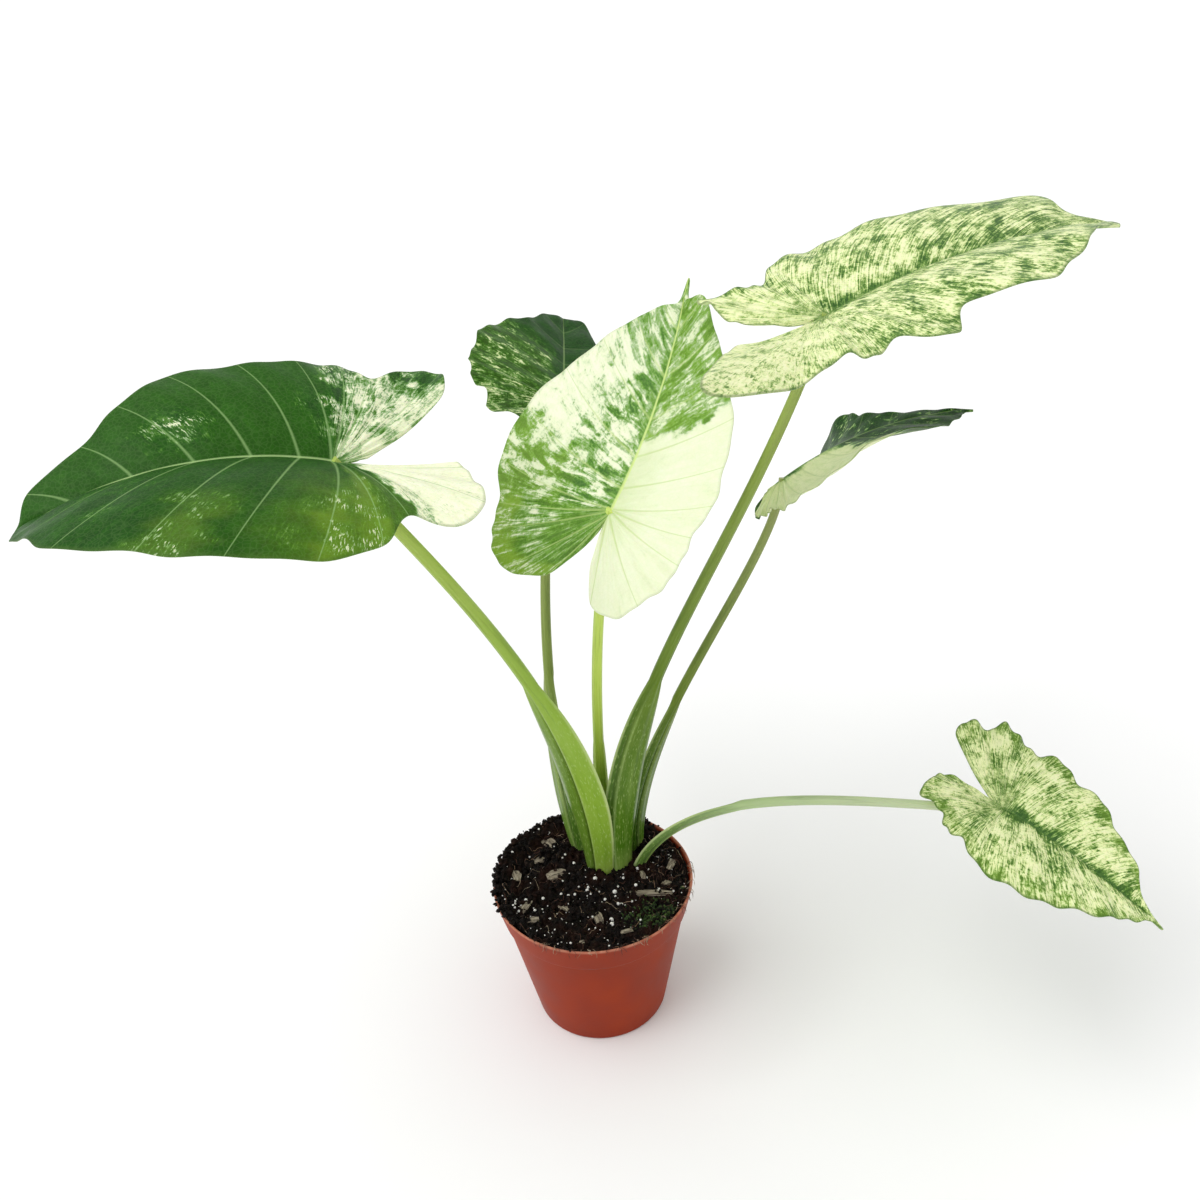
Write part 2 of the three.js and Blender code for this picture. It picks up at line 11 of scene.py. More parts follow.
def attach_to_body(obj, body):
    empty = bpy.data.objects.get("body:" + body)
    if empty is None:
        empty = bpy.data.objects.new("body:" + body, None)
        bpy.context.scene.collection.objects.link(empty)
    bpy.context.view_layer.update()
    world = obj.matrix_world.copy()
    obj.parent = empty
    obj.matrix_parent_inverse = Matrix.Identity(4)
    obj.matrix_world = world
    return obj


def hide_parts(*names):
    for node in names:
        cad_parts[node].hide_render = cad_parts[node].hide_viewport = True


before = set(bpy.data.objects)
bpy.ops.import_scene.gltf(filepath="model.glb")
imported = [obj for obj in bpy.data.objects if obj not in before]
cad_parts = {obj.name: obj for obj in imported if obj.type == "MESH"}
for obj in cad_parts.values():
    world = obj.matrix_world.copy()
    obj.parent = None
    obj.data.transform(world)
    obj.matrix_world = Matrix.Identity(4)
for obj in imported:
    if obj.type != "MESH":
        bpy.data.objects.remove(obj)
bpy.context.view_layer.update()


# Pot: one injection-moulded polypropylene nursery pot, terracotta red and slightly
# scuffed, with a plain collar band under a rounded lip and four drain holes in its floor.

RIM_RADIUS, BASE_RADIUS, POT_HEIGHT = 60.0, 40.0, 95.5
WALL, FLOOR = 1.6, 2.2
BAND_FOOT, BAND_LOWER_RADIUS, BAND_STEP = 78.0, 56.0, 1.2
FOOT_BEND, FLOOR_BEND = 1.4, 1.2
LIP, STEP_BELOW, STEP_ABOVE, ROUND, EASE = 2.4, 1.6, 0.2, 0.6, 0.5
GROOVE_OUTSIDE, GROOVE_INSIDE, GROOVE_DEPTH = 3.0, 7.0, 0.9
DRAIN_HOLES, DRAIN_RADIUS, DRAIN_CIRCLE = 4, 4.5, 25.0
POT_TURNS, POT_SHARP = 144, 35


def linear(colour):
    """Linear RGBA of an sRGB hex colour: up to 0.04045 a value is divided by 12.92, above
    it the value plus 0.055, over 1.055, is raised to 2.4."""
    value = np.array([int(colour[i:i + 2], 16) for i in (1, 3, 5)]) / 255
    flat = np.where(value <= 0.04045, value / 12.92, ((value + 0.055) / 1.055) ** 2.4)
    return (*flat.tolist(), 1.0)


def feed(node, *inputs, **named):
    """Gives a node's inputs, in their order or by name with _ for a space, a number, an sRGB
    hex colour, or a link from a socket or from another node's first output in use."""
    for key, value in [*enumerate(inputs), *named.items()]:
        socket = node.inputs[key.replace("_", " ") if isinstance(key, str) else key]
        if isinstance(value, str):
            value = linear(value)
        if isinstance(value, bpy.types.Node):
            value = next(output for output in value.outputs if output.enabled)
        if isinstance(value, bpy.types.NodeSocket):
            node.id_data.links.new(value, socket)
        else:
            socket.default_value = value


def add_node(tree, kind, *inputs, stops=(), **named):
    """Adds one shader node. Names in lower case are its settings and the others its inputs.
    Stops are a ramp's places and sRGB hex colours."""
    node = tree.nodes.new("ShaderNode" + kind)
    for key in filter(str.islower, named):
        setattr(node, key, named[key])
    for _ in stops[2:]:
        node.color_ramp.elements.new(1.0)
    for element, (place, colour) in zip(node.color_ramp.elements if stops else (), stops):
        element.position, element.color = place, linear(colour)
    feed(node, *inputs, **{key: value for key, value in named.items() if not key.islower()})
    return node


def new_material(name, **inputs):
    """A material whose one surface shader is given these inputs. Returns it, its shader
    tree and the surface."""
    material = bpy.data.materials.new(name)
    material.use_nodes = True
    surface = material.node_tree.nodes["Principled BSDF"]
    feed(surface, **inputs)
    return material, material.node_tree, surface


def grid_triangles(rows, columns, closed=False):
    """Triangles over a grid of points numbered row by row: two for each cell. A closed
    grid joins its last column to its first."""
    i, j = np.meshgrid(np.arange(rows - 1), np.arange(columns - (not closed)), indexing="ij")
    near = (i * columns + j).ravel()
    beside = (i * columns + (j + 1) % columns).ravel()
    first = np.stack([near, beside, beside + columns], 1)
    second = np.stack([near, beside + columns, near + columns], 1)
    return np.concatenate([first, second])


def copied(triangles, size, count):
    """Triangles of count copies of a shape of size points, numbered one after another."""
    return (triangles[None] + size * np.arange(count)[:, None, None]).reshape(-1, 3)


def add_mesh(name, points, triangles, corners=None, sharp=60.0):
    """One closed mesh from points in millimetres. Points in the same place become one and
    flat triangles go. Where the sum of each triangle's triple product is negative, all
    triangles are turned to face out. Corners holds values carried at each face's corners."""
    points = points.reshape(-1, 3) / 1000
    keys = np.round(points * 1e7).astype(np.int64)
    _, first, place = np.unique(keys, axis=0, return_index=True, return_inverse=True)
    welded = place.reshape(-1)[triangles]
    a, b, c = welded.T
    whole = (a != b) & (b != c) & (c != a)
    welded, kept = welded[whole], triangles[whole]
    points = points[first]
    p, q, r = points[welded[:, 0]], points[welded[:, 1]], points[welded[:, 2]]
    if (p * np.cross(q, r)).sum() < 0:
        welded, kept = welded[:, ::-1], kept[:, ::-1]
    mesh = bpy.data.meshes.new(name)
    mesh.from_pydata(points, [], welded)
    for key, values in (corners or {}).items():
        layer = mesh.attributes.new(key, "FLOAT_VECTOR", "CORNER")
        layer.data.foreach_set("vector", values[kept.ravel()].astype(np.float32).ravel())
    mesh.shade_smooth()
    mesh.set_sharp_from_angle(angle=math.radians(sharp))
    piece = bpy.data.objects.new(name, mesh)
    bpy.context.scene.collection.objects.link(piece)
    return piece


def attach(piece, material, node=None):
    """Gives a piece its material, puts it on the root body and hides the CAD node it stands for.
    """
    piece.data.materials.append(material)
    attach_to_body(piece, "root")
    if node:
        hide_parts(node)


def soften(profile, reach, count=5):
    """Rounds a profile's corners: each becomes a quadratic curve from a point reach before
    it to one reach after it, or a third of the way along a shorter side."""
    profile = np.array(profile, float)
    before, corner, after = profile[:-2], profile[1:-1], profile[2:]
    t = np.linspace(0, 1, count)[None, :, None]

    def toward(other):
        way = other - corner
        length = np.linalg.norm(way, axis=1, keepdims=True)
        return corner + way * np.minimum(reach / length, 1 / 3)

    start, end = toward(before)[:, None], toward(after)[:, None]
    curve = start * (1 - t) ** 2 + 2 * corner[:, None] * t * (1 - t) + end * t ** 2
    return np.concatenate([profile[:1], curve.reshape(-1, 2), profile[-1:]])


def around(reach, turn, z):
    """Places at a reach r, on a bearing t and at a height z: r cos t, r sin t, z."""
    return np.stack(np.broadcast_arrays(reach * np.cos(turn), reach * np.sin(turn), z), -1)


def turns(count):
    """A full turn in count equal parts."""
    return np.linspace(0, 2 * math.pi, count, endpoint=False)


def lathe(profile, count):
    """Surface of revolution: each profile point (r, z) goes round in count equal turns."""
    r, z = np.array(profile, float).T[:, :, None]
    return (around(r, turns(count), z).reshape(-1, 3),
            grid_triangles(len(r), count, closed=True))


def pot_outer(z):
    """Outside radius at a height: one straight taper up to the band, another in it."""
    wall = BASE_RADIUS + (BAND_LOWER_RADIUS - BAND_STEP - BASE_RADIUS) * z / BAND_FOOT
    lift = (z - BAND_FOOT) / (POT_HEIGHT - BAND_FOOT)
    return np.where(z < BAND_FOOT, wall, BAND_LOWER_RADIUS
                    + (RIM_RADIUS - BAND_LOWER_RADIUS) * lift)


def wall_run(start, end, inset, count=14):
    """Points up or down a wall of the pot, inset from its outside."""
    z = np.linspace(start, end, count)
    return list(zip(pot_outer(z) - inset, z))


pot_profile = soften(
    [(0, 0), (BASE_RADIUS - GROOVE_INSIDE, 0),
     (BASE_RADIUS - GROOVE_INSIDE + ROUND, GROOVE_DEPTH),
     (BASE_RADIUS - GROOVE_OUTSIDE - ROUND, GROOVE_DEPTH),
     (BASE_RADIUS - GROOVE_OUTSIDE, 0), (BASE_RADIUS - ROUND, 0)]
    + wall_run(FOOT_BEND, BAND_FOOT - STEP_BELOW, 0)
    + wall_run(BAND_FOOT + STEP_ABOVE, POT_HEIGHT - LIP, 0, 5)
    + [(RIM_RADIUS - 0.1, POT_HEIGHT - ROUND), (RIM_RADIUS - EASE, POT_HEIGHT),
       (RIM_RADIUS - WALL + EASE, POT_HEIGHT), (RIM_RADIUS - WALL, POT_HEIGHT - ROUND)]
    + wall_run(POT_HEIGHT - LIP, BAND_FOOT + STEP_ABOVE, WALL, 5)
    + wall_run(BAND_FOOT - STEP_BELOW, FLOOR + FLOOR_BEND, WALL)
    + [(BASE_RADIUS - WALL - 1, FLOOR), (0, FLOOR)], EASE)
pot = add_mesh("pot_moulding", *lathe(pot_profile, POT_TURNS), sharp=POT_SHARP)

# The drain holes are drilled through the floor, between these two heights.
DRILL_FROM, DRILL_TO, DRILL_TURNS = -3, 6, 32
drill_points, drill_triangles = lathe(
    [(0, DRILL_FROM), (DRAIN_RADIUS, DRILL_FROM), (DRAIN_RADIUS, DRILL_TO), (0, DRILL_TO)],
    DRILL_TURNS)
hole_turns = (np.arange(DRAIN_HOLES) + 0.5) * 2 * math.pi / DRAIN_HOLES
drills = add_mesh("drills", drill_points + around(DRAIN_CIRCLE, hole_turns, 0)[:, None],
                  copied(drill_triangles, len(drill_points), DRAIN_HOLES))
bore = pot.modifiers.new("drain_holes", "BOOLEAN")
bore.operation, bore.solver, bore.object = "DIFFERENCE", "EXACT", drills
bored = bpy.data.meshes.new_from_object(
    pot.evaluated_get(bpy.context.evaluated_depsgraph_get()))
pot.modifiers.clear()
pot.data = bored
bored.shade_smooth()
bored.set_sharp_from_angle(angle=math.radians(POT_SHARP))
bpy.data.objects.remove(drills)

# Moulded polypropylene: an even satin red-brown, with faint cloudy variation, a scuffed and
# paler lip, specks of dried soil and the fine eggshell grain of the mould. The lip's wear
# starts and is full at these depths below its top.
WEAR_FROM, WEAR_FULL = 1.7, 0.3
terracotta, tree, surface = new_material("terracotta_polypropylene", IOR=1.49,
                                         Specular_IOR_Level=0.12)
where = add_node(tree, "TexCoord").outputs["Object"]
cloud = add_node(tree, "TexNoise", where, Scale=32.0, Detail=3.0)
plastic = add_node(tree, "ValToRGB", cloud,
                   stops=[(0.3, "#862a0c"), (0.5, "#902e0e"), (0.72, "#9a3512")])
height = add_node(tree, "SeparateXYZ", where).outputs["Z"]
lip = add_node(tree, "MapRange", height, From_Min=(POT_HEIGHT - WEAR_FROM) / 1000,
               From_Max=(POT_HEIGHT - WEAR_FULL) / 1000)
worn = add_node(tree, "TexNoise", where, Scale=240.0, Detail=3.0)
worn_lip = add_node(tree, "Math", lip, worn, operation="MULTIPLY")
dust = add_node(tree, "TexNoise", where, Scale=520.0, Detail=4.0, Roughness=0.7)
specks = add_node(tree, "MapRange", dust, From_Min=0.7, From_Max=0.76, To_Max=0.5)
for share, colour in ((worn_lip, "#d79a80"), (specks, "#5b2a1c")):
    plastic = add_node(tree, "Mix", Factor=share, A=plastic, B=colour, data_type="RGBA")
sheen = add_node(tree, "MapRange", cloud, From_Min=0.3, From_Max=0.7, To_Min=0.4, To_Max=0.54)
grain = add_node(tree, "TexNoise", where, Scale=900.0, Detail=2.0)
bump = add_node(tree, "Bump", Height=grain, Strength=0.15, Distance=0.0003)
feed(surface, Base_Color=plastic, Roughness=sheen, Normal=bump)
attach(pot, terracotta, "pot")


# Potting mix: dark damp peat with white perlite grains, bits of bark, a flat stick, root
# fibres and a small patch of moss. It fills the pot almost to the lip, loose and crumbly.

STEM_X, STEM_Y = 11.0, 20.0
MIX_EDGE, MIX_RISE, MIX_LUMP, GAP = 91.5, 3.0, 1.1, 0.3
MIX_REACH, BANK, HEAP, BANK_RUN = 56.0, 1.6, 3.2, (43, 57)
HEAP_RISES, HEAP_FALLS = (30, 75), (205, 250)
CRUMBLE, CRUMB_SIZES = 0.1, (7, 4.3, 2.7, 1.8, 1.2)
random = np.random.default_rng(11)


def smoothstep(value, low, high):
    """Smooth step from 0 at low to 1 at high: 3 t squared less 2 t cubed."""
    t = np.clip((value - low) / (high - low), 0, 1)
    return t * t * (3 - 2 * t)


def ripples(x, y, sizes, seed):
    """Crumbly relief: for each size in millimetres, three crossed sine waves of that
    length in seeded directions, multiplied pair by pair and weighted by their size."""
    draw = np.random.default_rng(seed)
    total = 0.0 * x
    for size in sizes:
        turn, phase = draw.uniform(0, math.pi, 3), draw.uniform(0, 6.3, 3)
        first, second, third = [
            np.sin((x * math.cos(t) + y * math.sin(t)) * 2 * math.pi / size + p)
            for t, p in zip(turn, phase)]
        total = total + size * (first * second + second * third + third * first)
    return total


def mix_height(x, y):
    """Level of the mix: it rises in a smooth step towards the stem, with slow crossed
    waves for lumps that settle before the wall."""
    edge = pot_outer(np.array(MIX_EDGE)) - WALL
    rise = MIX_RISE * (1 - smoothstep(np.hypot(x - STEM_X, y - STEM_Y), 10, edge))
    lumps = (np.sin(x * 0.31 + 1.7) * np.sin(y * 0.37 + 0.4)
             + 0.6 * np.sin(x * 0.83 - y * 0.52) + 0.5 * np.sin(x * 0.47 + y * 0.91 + 2.2))
    settled = 1 - smoothstep(np.hypot(x, y), edge - 6, edge)
    return MIX_EDGE + rise + MIX_LUMP * lumps * settled


def heaped(x, y):
    """How far the mix is heaped to the lip: a smooth step on the bearing, full at the left
    and the back, and low from the front round to the right."""
    bearing = np.degrees(np.arctan2(y, x)) % 360
    return smoothstep(bearing, *HEAP_RISES) * (1 - smoothstep(bearing, *HEAP_FALLS))


def soil_height(x, y):
    """The level with the crumb of the peat on it, finer and finer, and a bank that climbs
    in a smooth step to the lip where it is heaped."""
    bank = smoothstep(np.hypot(x, y), *BANK_RUN) * (BANK + HEAP * heaped(x, y))
    return mix_height(x, y) + bank + CRUMBLE * ripples(x, y, CRUMB_SIZES, 3)


SOIL_RINGS, SOIL_SPOKES, WALL_EASE = 110, 260, 0.4
soil_edge = float(pot_outer(np.array(MIX_EDGE))) - WALL - GAP
spokes = turns(SOIL_SPOKES)
top = around(np.linspace(0, 1, SOIL_RINGS)[:, None] ** 0.7 * soil_edge, spokes, 0.0)
top[..., 2] = soil_height(top[..., 0], top[..., 1])
wall_z = np.array([BAND_FOOT + 8, BAND_FOOT - 2, 40, FLOOR + GAP])[:, None]
side = around(pot_outer(wall_z) - WALL - GAP - WALL_EASE, spokes, wall_z)
foot = around(np.zeros((1, 1)), spokes, FLOOR + GAP)
soil_points = np.concatenate([top, side, foot])
soil = add_mesh("peat_mix", soil_points,
                grid_triangles(len(soil_points), SOIL_SPOKES, closed=True))

# Damp peat: nearly black brown, broken by pale specks a fraction of a millimetre wide,
# partly dry fibres and partly painted glints of the wet crumb. It is dull, but wet facets glint
# here and there.
peat, tree, surface = new_material("damp_peat", IOR=1.4, Specular_IOR_Level=0.15)
where = add_node(tree, "TexCoord").outputs["Object"]
crumb = add_node(tree, "TexNoise", where, Scale=420.0, Detail=6.0, Roughness=0.75)
tint = add_node(tree, "TexNoise", where, Scale=90.0, Detail=2.0)
earth = add_node(tree, "ValToRGB", crumb, stops=[
    (0.3, "#040302"), (0.5, "#0d0907"), (0.6, "#211712"), (0.7, "#4c3f34"), (0.8, "#9c9082")])
ruddy = add_node(tree, "MapRange", tint, From_Min=0.5, From_Max=0.7, To_Max=0.4)
browned = add_node(tree, "Mix", Factor=ruddy, A=earth, B="#3a2016", data_type="RGBA")
damp = add_node(tree, "MapRange", tint, From_Min=0.35, From_Max=0.6, To_Min=0.26, To_Max=0.8)
bump = add_node(tree, "Bump", Height=crumb, Strength=1.0, Distance=0.0008)
feed(surface, Base_Color=browned, Roughness=damp, Normal=bump)
attach(soil, peat, "potting_mix")


def ball(subdivisions):
    """Points and triangles of a unit ball: an icosahedron's, its edges halved and the new
    points pushed out to the ball, once for each subdivision."""
    g = (1 + 5 ** 0.5) / 2
    points = np.array([(-1, g, 0), (1, g, 0), (-1, -g, 0), (1, -g, 0), (0, -1, g), (0, 1, g),
                       (0, -1, -g), (0, 1, -g), (g, 0, -1), (g, 0, 1), (-g, 0, -1),
                       (-g, 0, 1)], float)
    faces = np.array([(0, 11, 5), (0, 5, 1), (0, 1, 7), (0, 7, 10), (0, 10, 11), (1, 5, 9),
                      (5, 11, 4), (11, 10, 2), (10, 7, 6), (7, 1, 8), (3, 9, 4), (3, 4, 2),
                      (3, 2, 6), (3, 6, 8), (3, 8, 9), (4, 9, 5), (2, 4, 11), (6, 2, 10),
                      (8, 6, 7), (9, 8, 1)])
    for _ in range(subdivisions):
        a, b, c = points[faces[:, 0]], points[faces[:, 1]], points[faces[:, 2]]
        count = len(faces)
        points = np.concatenate([a, b, c, (a + b) / 2, (b + c) / 2, (c + a) / 2])
        p, q, r, pq, qr, rp = (np.arange(count) + k * count for k in range(6))
        faces = np.concatenate([np.stack(corner, 1) for corner in
                                ((p, pq, rp), (pq, q, qr), (rp, qr, r), (pq, qr, rp))])
        points, place = np.unique(np.round(points, 9), axis=0, return_inverse=True)
        faces = place.reshape(-1)[faces]
    return points / np.linalg.norm(points, axis=1, keepdims=True), faces


def scattered(shape, places, sizes, uneven, draw):
    """Copies of a small shape: each is scaled along its own axes, has its points pushed in
    or out at random by the share uneven, is turned at random and moved to its place."""
    points, faces = shape
    count = len(places)
    local = points[None] * sizes[:, None]
    local = local * (1 + uneven * draw.uniform(-1, 1, (count, len(points), 1)))
    spins, _ = np.linalg.qr(draw.normal(size=(count, 3, 3)))
    spins *= np.sign(np.linalg.det(spins))[:, None, None]
    moved = np.einsum("nij,npj->npi", spins, local) + places[:, None]
    return moved, copied(faces, len(points), count)


def on_soil(x, y, lift=0.0):
    """Places on the mix, lifted off it by so much."""
    return np.stack([x, y, soil_height(x, y) + lift], -1)


def spots(count, draw, clear=0.0):
    """Even random places over the mix, further than clear from the stem."""
    x, y = draw.uniform(-MIX_REACH - 1, MIX_REACH + 1, (2, count * 3))
    free = (np.hypot(x, y) < MIX_REACH) & (np.hypot(x - STEM_X, y - STEM_Y) > clear)
    return x[free][:count], y[free][:count]


# Loose crumbs of peat lie all over the mix, and coarser ones on the lip where it is heaped,
# round a middle bearing and reach, each with its spread, and between two heights.
CRUMBS, LIP_CRUMBS = 2200, 330
LIP_BEARING, LIP_RING = (140, 40), (RIM_RADIUS - 1.4, 1.1)
LIP_LAYER = (POT_HEIGHT + 0.1, POT_HEIGHT + 1.8)
x, y = spots(CRUMBS, random)
crumb_size = random.uniform(0.3, 1.5, (len(x), 1)) * random.uniform(0.6, 1.3, (len(x), 3))
lip_turn = np.radians(random.normal(*LIP_BEARING, LIP_CRUMBS))
lip_reach = random.normal(*LIP_RING, LIP_CRUMBS)
lip_places = around(lip_reach, lip_turn, random.uniform(*LIP_LAYER, LIP_CRUMBS))
lip_size = random.uniform(0.5, 1.9, (LIP_CRUMBS, 1)) * random.uniform(0.6, 1.2, (LIP_CRUMBS, 3))
crumbs = add_mesh("peat_crumbs", *scattered(
    ball(0), np.concatenate([on_soil(x, y), lip_places]),
    np.concatenate([crumb_size, lip_size]), 0.32, random), sharp=30)
attach(crumbs, peat)

# Perlite: popped volcanic glass, bright white rounded grains of 1 to 3 mm, chalky and
# slightly pitted, half sunk in the peat. They lie in loose drifts.
PERLITE_DRIFTS = [(-2, -12), (20, -20), (8, -38), (-20, -30), (-38, -18), (44, 14), (4, -2)]
LOOSE_GRAINS, DRIFT_GRAINS, DRIFT_SPREAD, STEM_CLEAR = 150, 90, 6.5, 20
GRAIN_RADII, GRAIN_SHARES = [0.25, 0.4, 0.65, 0.95, 1.3], [0.4, 0.3, 0.18, 0.09, 0.03]
x, y = spots(LOOSE_GRAINS, random, STEM_CLEAR)
drift = random.integers(0, len(PERLITE_DRIFTS), DRIFT_GRAINS)
drift_places = np.array(PERLITE_DRIFTS)[drift] + random.normal(0, DRIFT_SPREAD, (DRIFT_GRAINS, 2))
x, y = np.append(x, drift_places[:, 0]), np.append(y, drift_places[:, 1])
grain_radius = random.choice(GRAIN_RADII, len(x), p=GRAIN_SHARES)
grain_axes = grain_radius[:, None] * random.uniform(0.8, 1.15, (len(x), 3))
perlite_grains = add_mesh("perlite_grains", *scattered(
    ball(1), on_soil(x, y, 0.35 * grain_radius + 0.25), grain_axes, 0.09, random))
perlite, tree, surface = new_material("popped_perlite", Roughness=0.85)
where = add_node(tree, "TexCoord").outputs["Object"]
pits = add_node(tree, "TexNoise", where, Scale=1500.0, Detail=3.0)
chalk = add_node(tree, "ValToRGB", pits,
                 stops=[(0.32, "#c4beb2"), (0.5, "#f1efe9"), (0.7, "#ffffff")])
bump = add_node(tree, "Bump", Height=pits, Strength=0.5, Distance=0.0003)
feed(surface, Base_Color=chalk, Normal=bump)
attach(perlite_grains, perlite)


def slab(length, width, thickness, bow, cuts=8):
    """A thin uneven chip: a ring of four corners carried along its length, bowed by a sine
    and narrowed towards both ends by the root of a sine."""
    u = np.linspace(0, 1, cuts)
    narrow = (0.3 + 0.7 * np.sin(math.pi * (0.08 + 0.84 * u)) ** 0.5)[:, None]
    across = np.array([-1, 1, 1, -1]) * width / 2
    up = np.array([-1, -1, 1, 1]) * thickness / 2
    points = np.stack([np.repeat((u[:, None] - 0.5) * length, 4, 1), narrow * across,
                       up * narrow + bow * np.sin(math.pi * u)[:, None]], -1).reshape(-1, 3)
    ends = np.array([(0, 2, 1), (0, 3, 2)])
    return points, np.concatenate([grid_triangles(cuts, 4, closed=True), ends,
                                   ends[:, ::-1] + len(points) - 4])


# Bark chips and a flat stick: split softwood, grey-brown and dry, with fine grain lines
# along it. Each has its place, its bearing, its length and its width. Only the stick is
# longer than 20 mm: it is thicker, lies level and stands higher in the mix. The grain of
# each starts so many millimetres apart from the last one's.
CHIPS = [(-26, 36, -50, 13, 7), (-22, 7, 15, 12, 7), (-41, -17, 60, 11, 6), (2, -31, -75, 9, 5),
         (-46, 8, 100, 9, 5), (48, 8, 60, 9, 4), (44, -6, 20, 7, 3), (-33, 22, 20, 9, 5),
         (18, -44, 15, 7, 3), (-18, -20, 140, 7, 4), (-36, -30, 10, 7, 3), (-8, -48, 30, 6, 3),
         (-12, 48, 10, 8, 5), (30, -2, 100, 6, 3), (33, -14, -4, 27, 3.6)]
CHIP_THICK, CHIP_LIFT, STICK_THICK, STICK_LIFT, STICK_FROM = 1.1, 1.0, 1.7, 2.0, 20
CHIP_BOW, CHIP_TILT, SPLINTER, GRAIN_APART = 0.5, 0.3, 0.16, 40
chip_points, chip_triangles, chip_grain = [], [], []
for x, y, bearing, length, width in CHIPS:
    stick = length > STICK_FROM
    thick, lift = (STICK_THICK, STICK_LIFT) if stick else (CHIP_THICK, CHIP_LIFT)
    local, faces = slab(length, width, thick, CHIP_BOW)
    local = local + random.normal(0, SPLINTER, local.shape)
    c, s = math.cos(math.radians(bearing)), math.sin(math.radians(bearing))
    spin = np.array([(c, -s, 0), (s, c, 0), (0, 0, 1)])
    if not stick:
        local[:, 2] += random.uniform(-CHIP_TILT, CHIP_TILT) * local[:, 1]
    chip_triangles.append(faces + sum(len(p) for p in chip_points))
    chip_points.append(local @ spin.T + on_soil(np.array(x), np.array(y), lift))
    chip_grain.append(local + [0, GRAIN_APART * len(chip_grain), 0])
chips = add_mesh("bark_and_stick", np.concatenate(chip_points), np.concatenate(chip_triangles),
                 {"grain": np.concatenate(chip_grain)}, sharp=50)
bark, tree, surface = new_material("weathered_softwood", Roughness=0.8)
along = add_node(tree, "Attribute", attribute_name="grain").outputs["Vector"]
fibre = add_node(tree, "Mapping", along, Scale=(0.12, 1.6, 1.6))
lines = add_node(tree, "TexNoise", fibre, Scale=1.0, Detail=4.0)
wood = add_node(tree, "ValToRGB", lines, stops=[
    (0.3, "#3a322a"), (0.45, "#6c6152"), (0.58, "#9b907c"), (0.75, "#c6bda6")])
bump = add_node(tree, "Bump", Height=lines, Strength=0.6, Distance=0.0005)
feed(surface, Base_Color=wood, Normal=bump)
attach(chips, bark)


def tubes(paths, radii, sides):
    """Closed tubes along paths, an array of runs of points: at each point a ring lies
    across the path's direction, and the ends close to a point."""
    count, steps = paths.shape[:2]
    way = np.gradient(paths, axis=1)
    way /= np.linalg.norm(way, axis=2, keepdims=True)
    side = np.cross(way, np.array([0.13, 0.21, 0.97]))
    side /= np.linalg.norm(side, axis=2, keepdims=True)
    up = np.cross(side, way)
    turn = turns(sides)[:, None]
    taper = np.ones(steps)
    taper[[0, -1]] = 0
    size = (radii[:, None] * taper)[:, :, None, None]
    ring = side[:, :, None] * np.cos(turn) + up[:, :, None] * np.sin(turn)
    points = paths[:, :, None] + size * ring
    return points.reshape(-1, 3), copied(grid_triangles(steps, sides, closed=True),
                                         steps * sides, count)


def wandering(x, y, length, curl, draw, steps):
    """Paths that wander level: from each place, equal steps in a direction that turns by a
    random amount each time."""
    turn = draw.uniform(0, 2 * math.pi, (len(x), 1)) + np.cumsum(
        draw.normal(0, curl, (len(x), steps)), 1)
    stride = (length / steps)[:, None]
    px = x[:, None] + np.cumsum(stride * np.cos(turn), 1)
    py = y[:, None] + np.cumsum(stride * np.sin(turn), 1)
    far = np.maximum(np.hypot(px, py) / MIX_REACH, 1)
    return px / far, py / far


# Root fibres: dry hair-thin roots and coir lying on the mix, tawny or grey, reddish at the
# right, and a few that hang over the lip at the front and the right.
FIBRES, RED_FIBRES, HUNG_FIBRES, FIBRE_STEPS = 170, 45, 46, 9
LIP_INSIDE, LIP_LEVEL, LIP_OVER, LIP_CREST = RIM_RADIUS - 3.5, POT_HEIGHT - 0.5, 4.3, 1.9
RED_X, RED_Y, HUNG_BEARINGS, HUNG_DROPS = (34, 54), (-24, 22), (-125, 15), (0.5, 6.0)
x, y = spots(FIBRES, random, STEM_CLEAR)
x[:RED_FIBRES] = random.uniform(*RED_X, RED_FIBRES)
y[:RED_FIBRES] = random.uniform(*RED_Y, RED_FIBRES)
px, py = wandering(x, y, random.uniform(4, 15, len(x)), 0.5, random, FIBRE_STEPS)
lain = np.stack([px, py, soil_height(px, py) + 0.3 + random.uniform(0, 0.9, px.shape)], -1)
hang_turn = np.radians(random.uniform(*HUNG_BEARINGS, HUNG_FIBRES))[:, None] + np.cumsum(
    random.normal(0, 0.012, (HUNG_FIBRES, FIBRE_STEPS)), 1)
over = np.linspace(0, 1, FIBRE_STEPS)[None]
drop = random.uniform(*HUNG_DROPS, (HUNG_FIBRES, 1))
hang_reach = LIP_INSIDE + LIP_OVER * np.sin(over * math.pi / 2) ** 0.8 + 0.3 * over
hang_rise = LIP_LEVEL + LIP_CREST * np.sin(over * math.pi) - drop * over ** 3
fibre_paths = np.concatenate([lain, around(hang_reach, hang_turn, hang_rise)])
fibre_radii = random.uniform(0.09, 0.19, len(fibre_paths))
fibre_points, fibre_triangles = tubes(fibre_paths, fibre_radii, 4)
tint = random.uniform(0, 1, len(fibre_paths))
tint[:RED_FIBRES] *= 0.6
tint = np.repeat(tint, len(fibre_points) // len(tint))
fibres = add_mesh("root_fibres", fibre_points, fibre_triangles,
                  {"tint": np.stack([tint, tint, tint], 1)}, sharp=80)
rootlet, tree, surface = new_material("dry_rootlets", Roughness=0.7)
shade = add_node(tree, "Attribute", attribute_name="tint").outputs["Fac"]
dry = add_node(tree, "ValToRGB", shade, stops=[
    (0.0, "#2c1710"), (0.4, "#5b3423"), (0.7, "#8a6b52"), (1.0, "#b9a88e")])
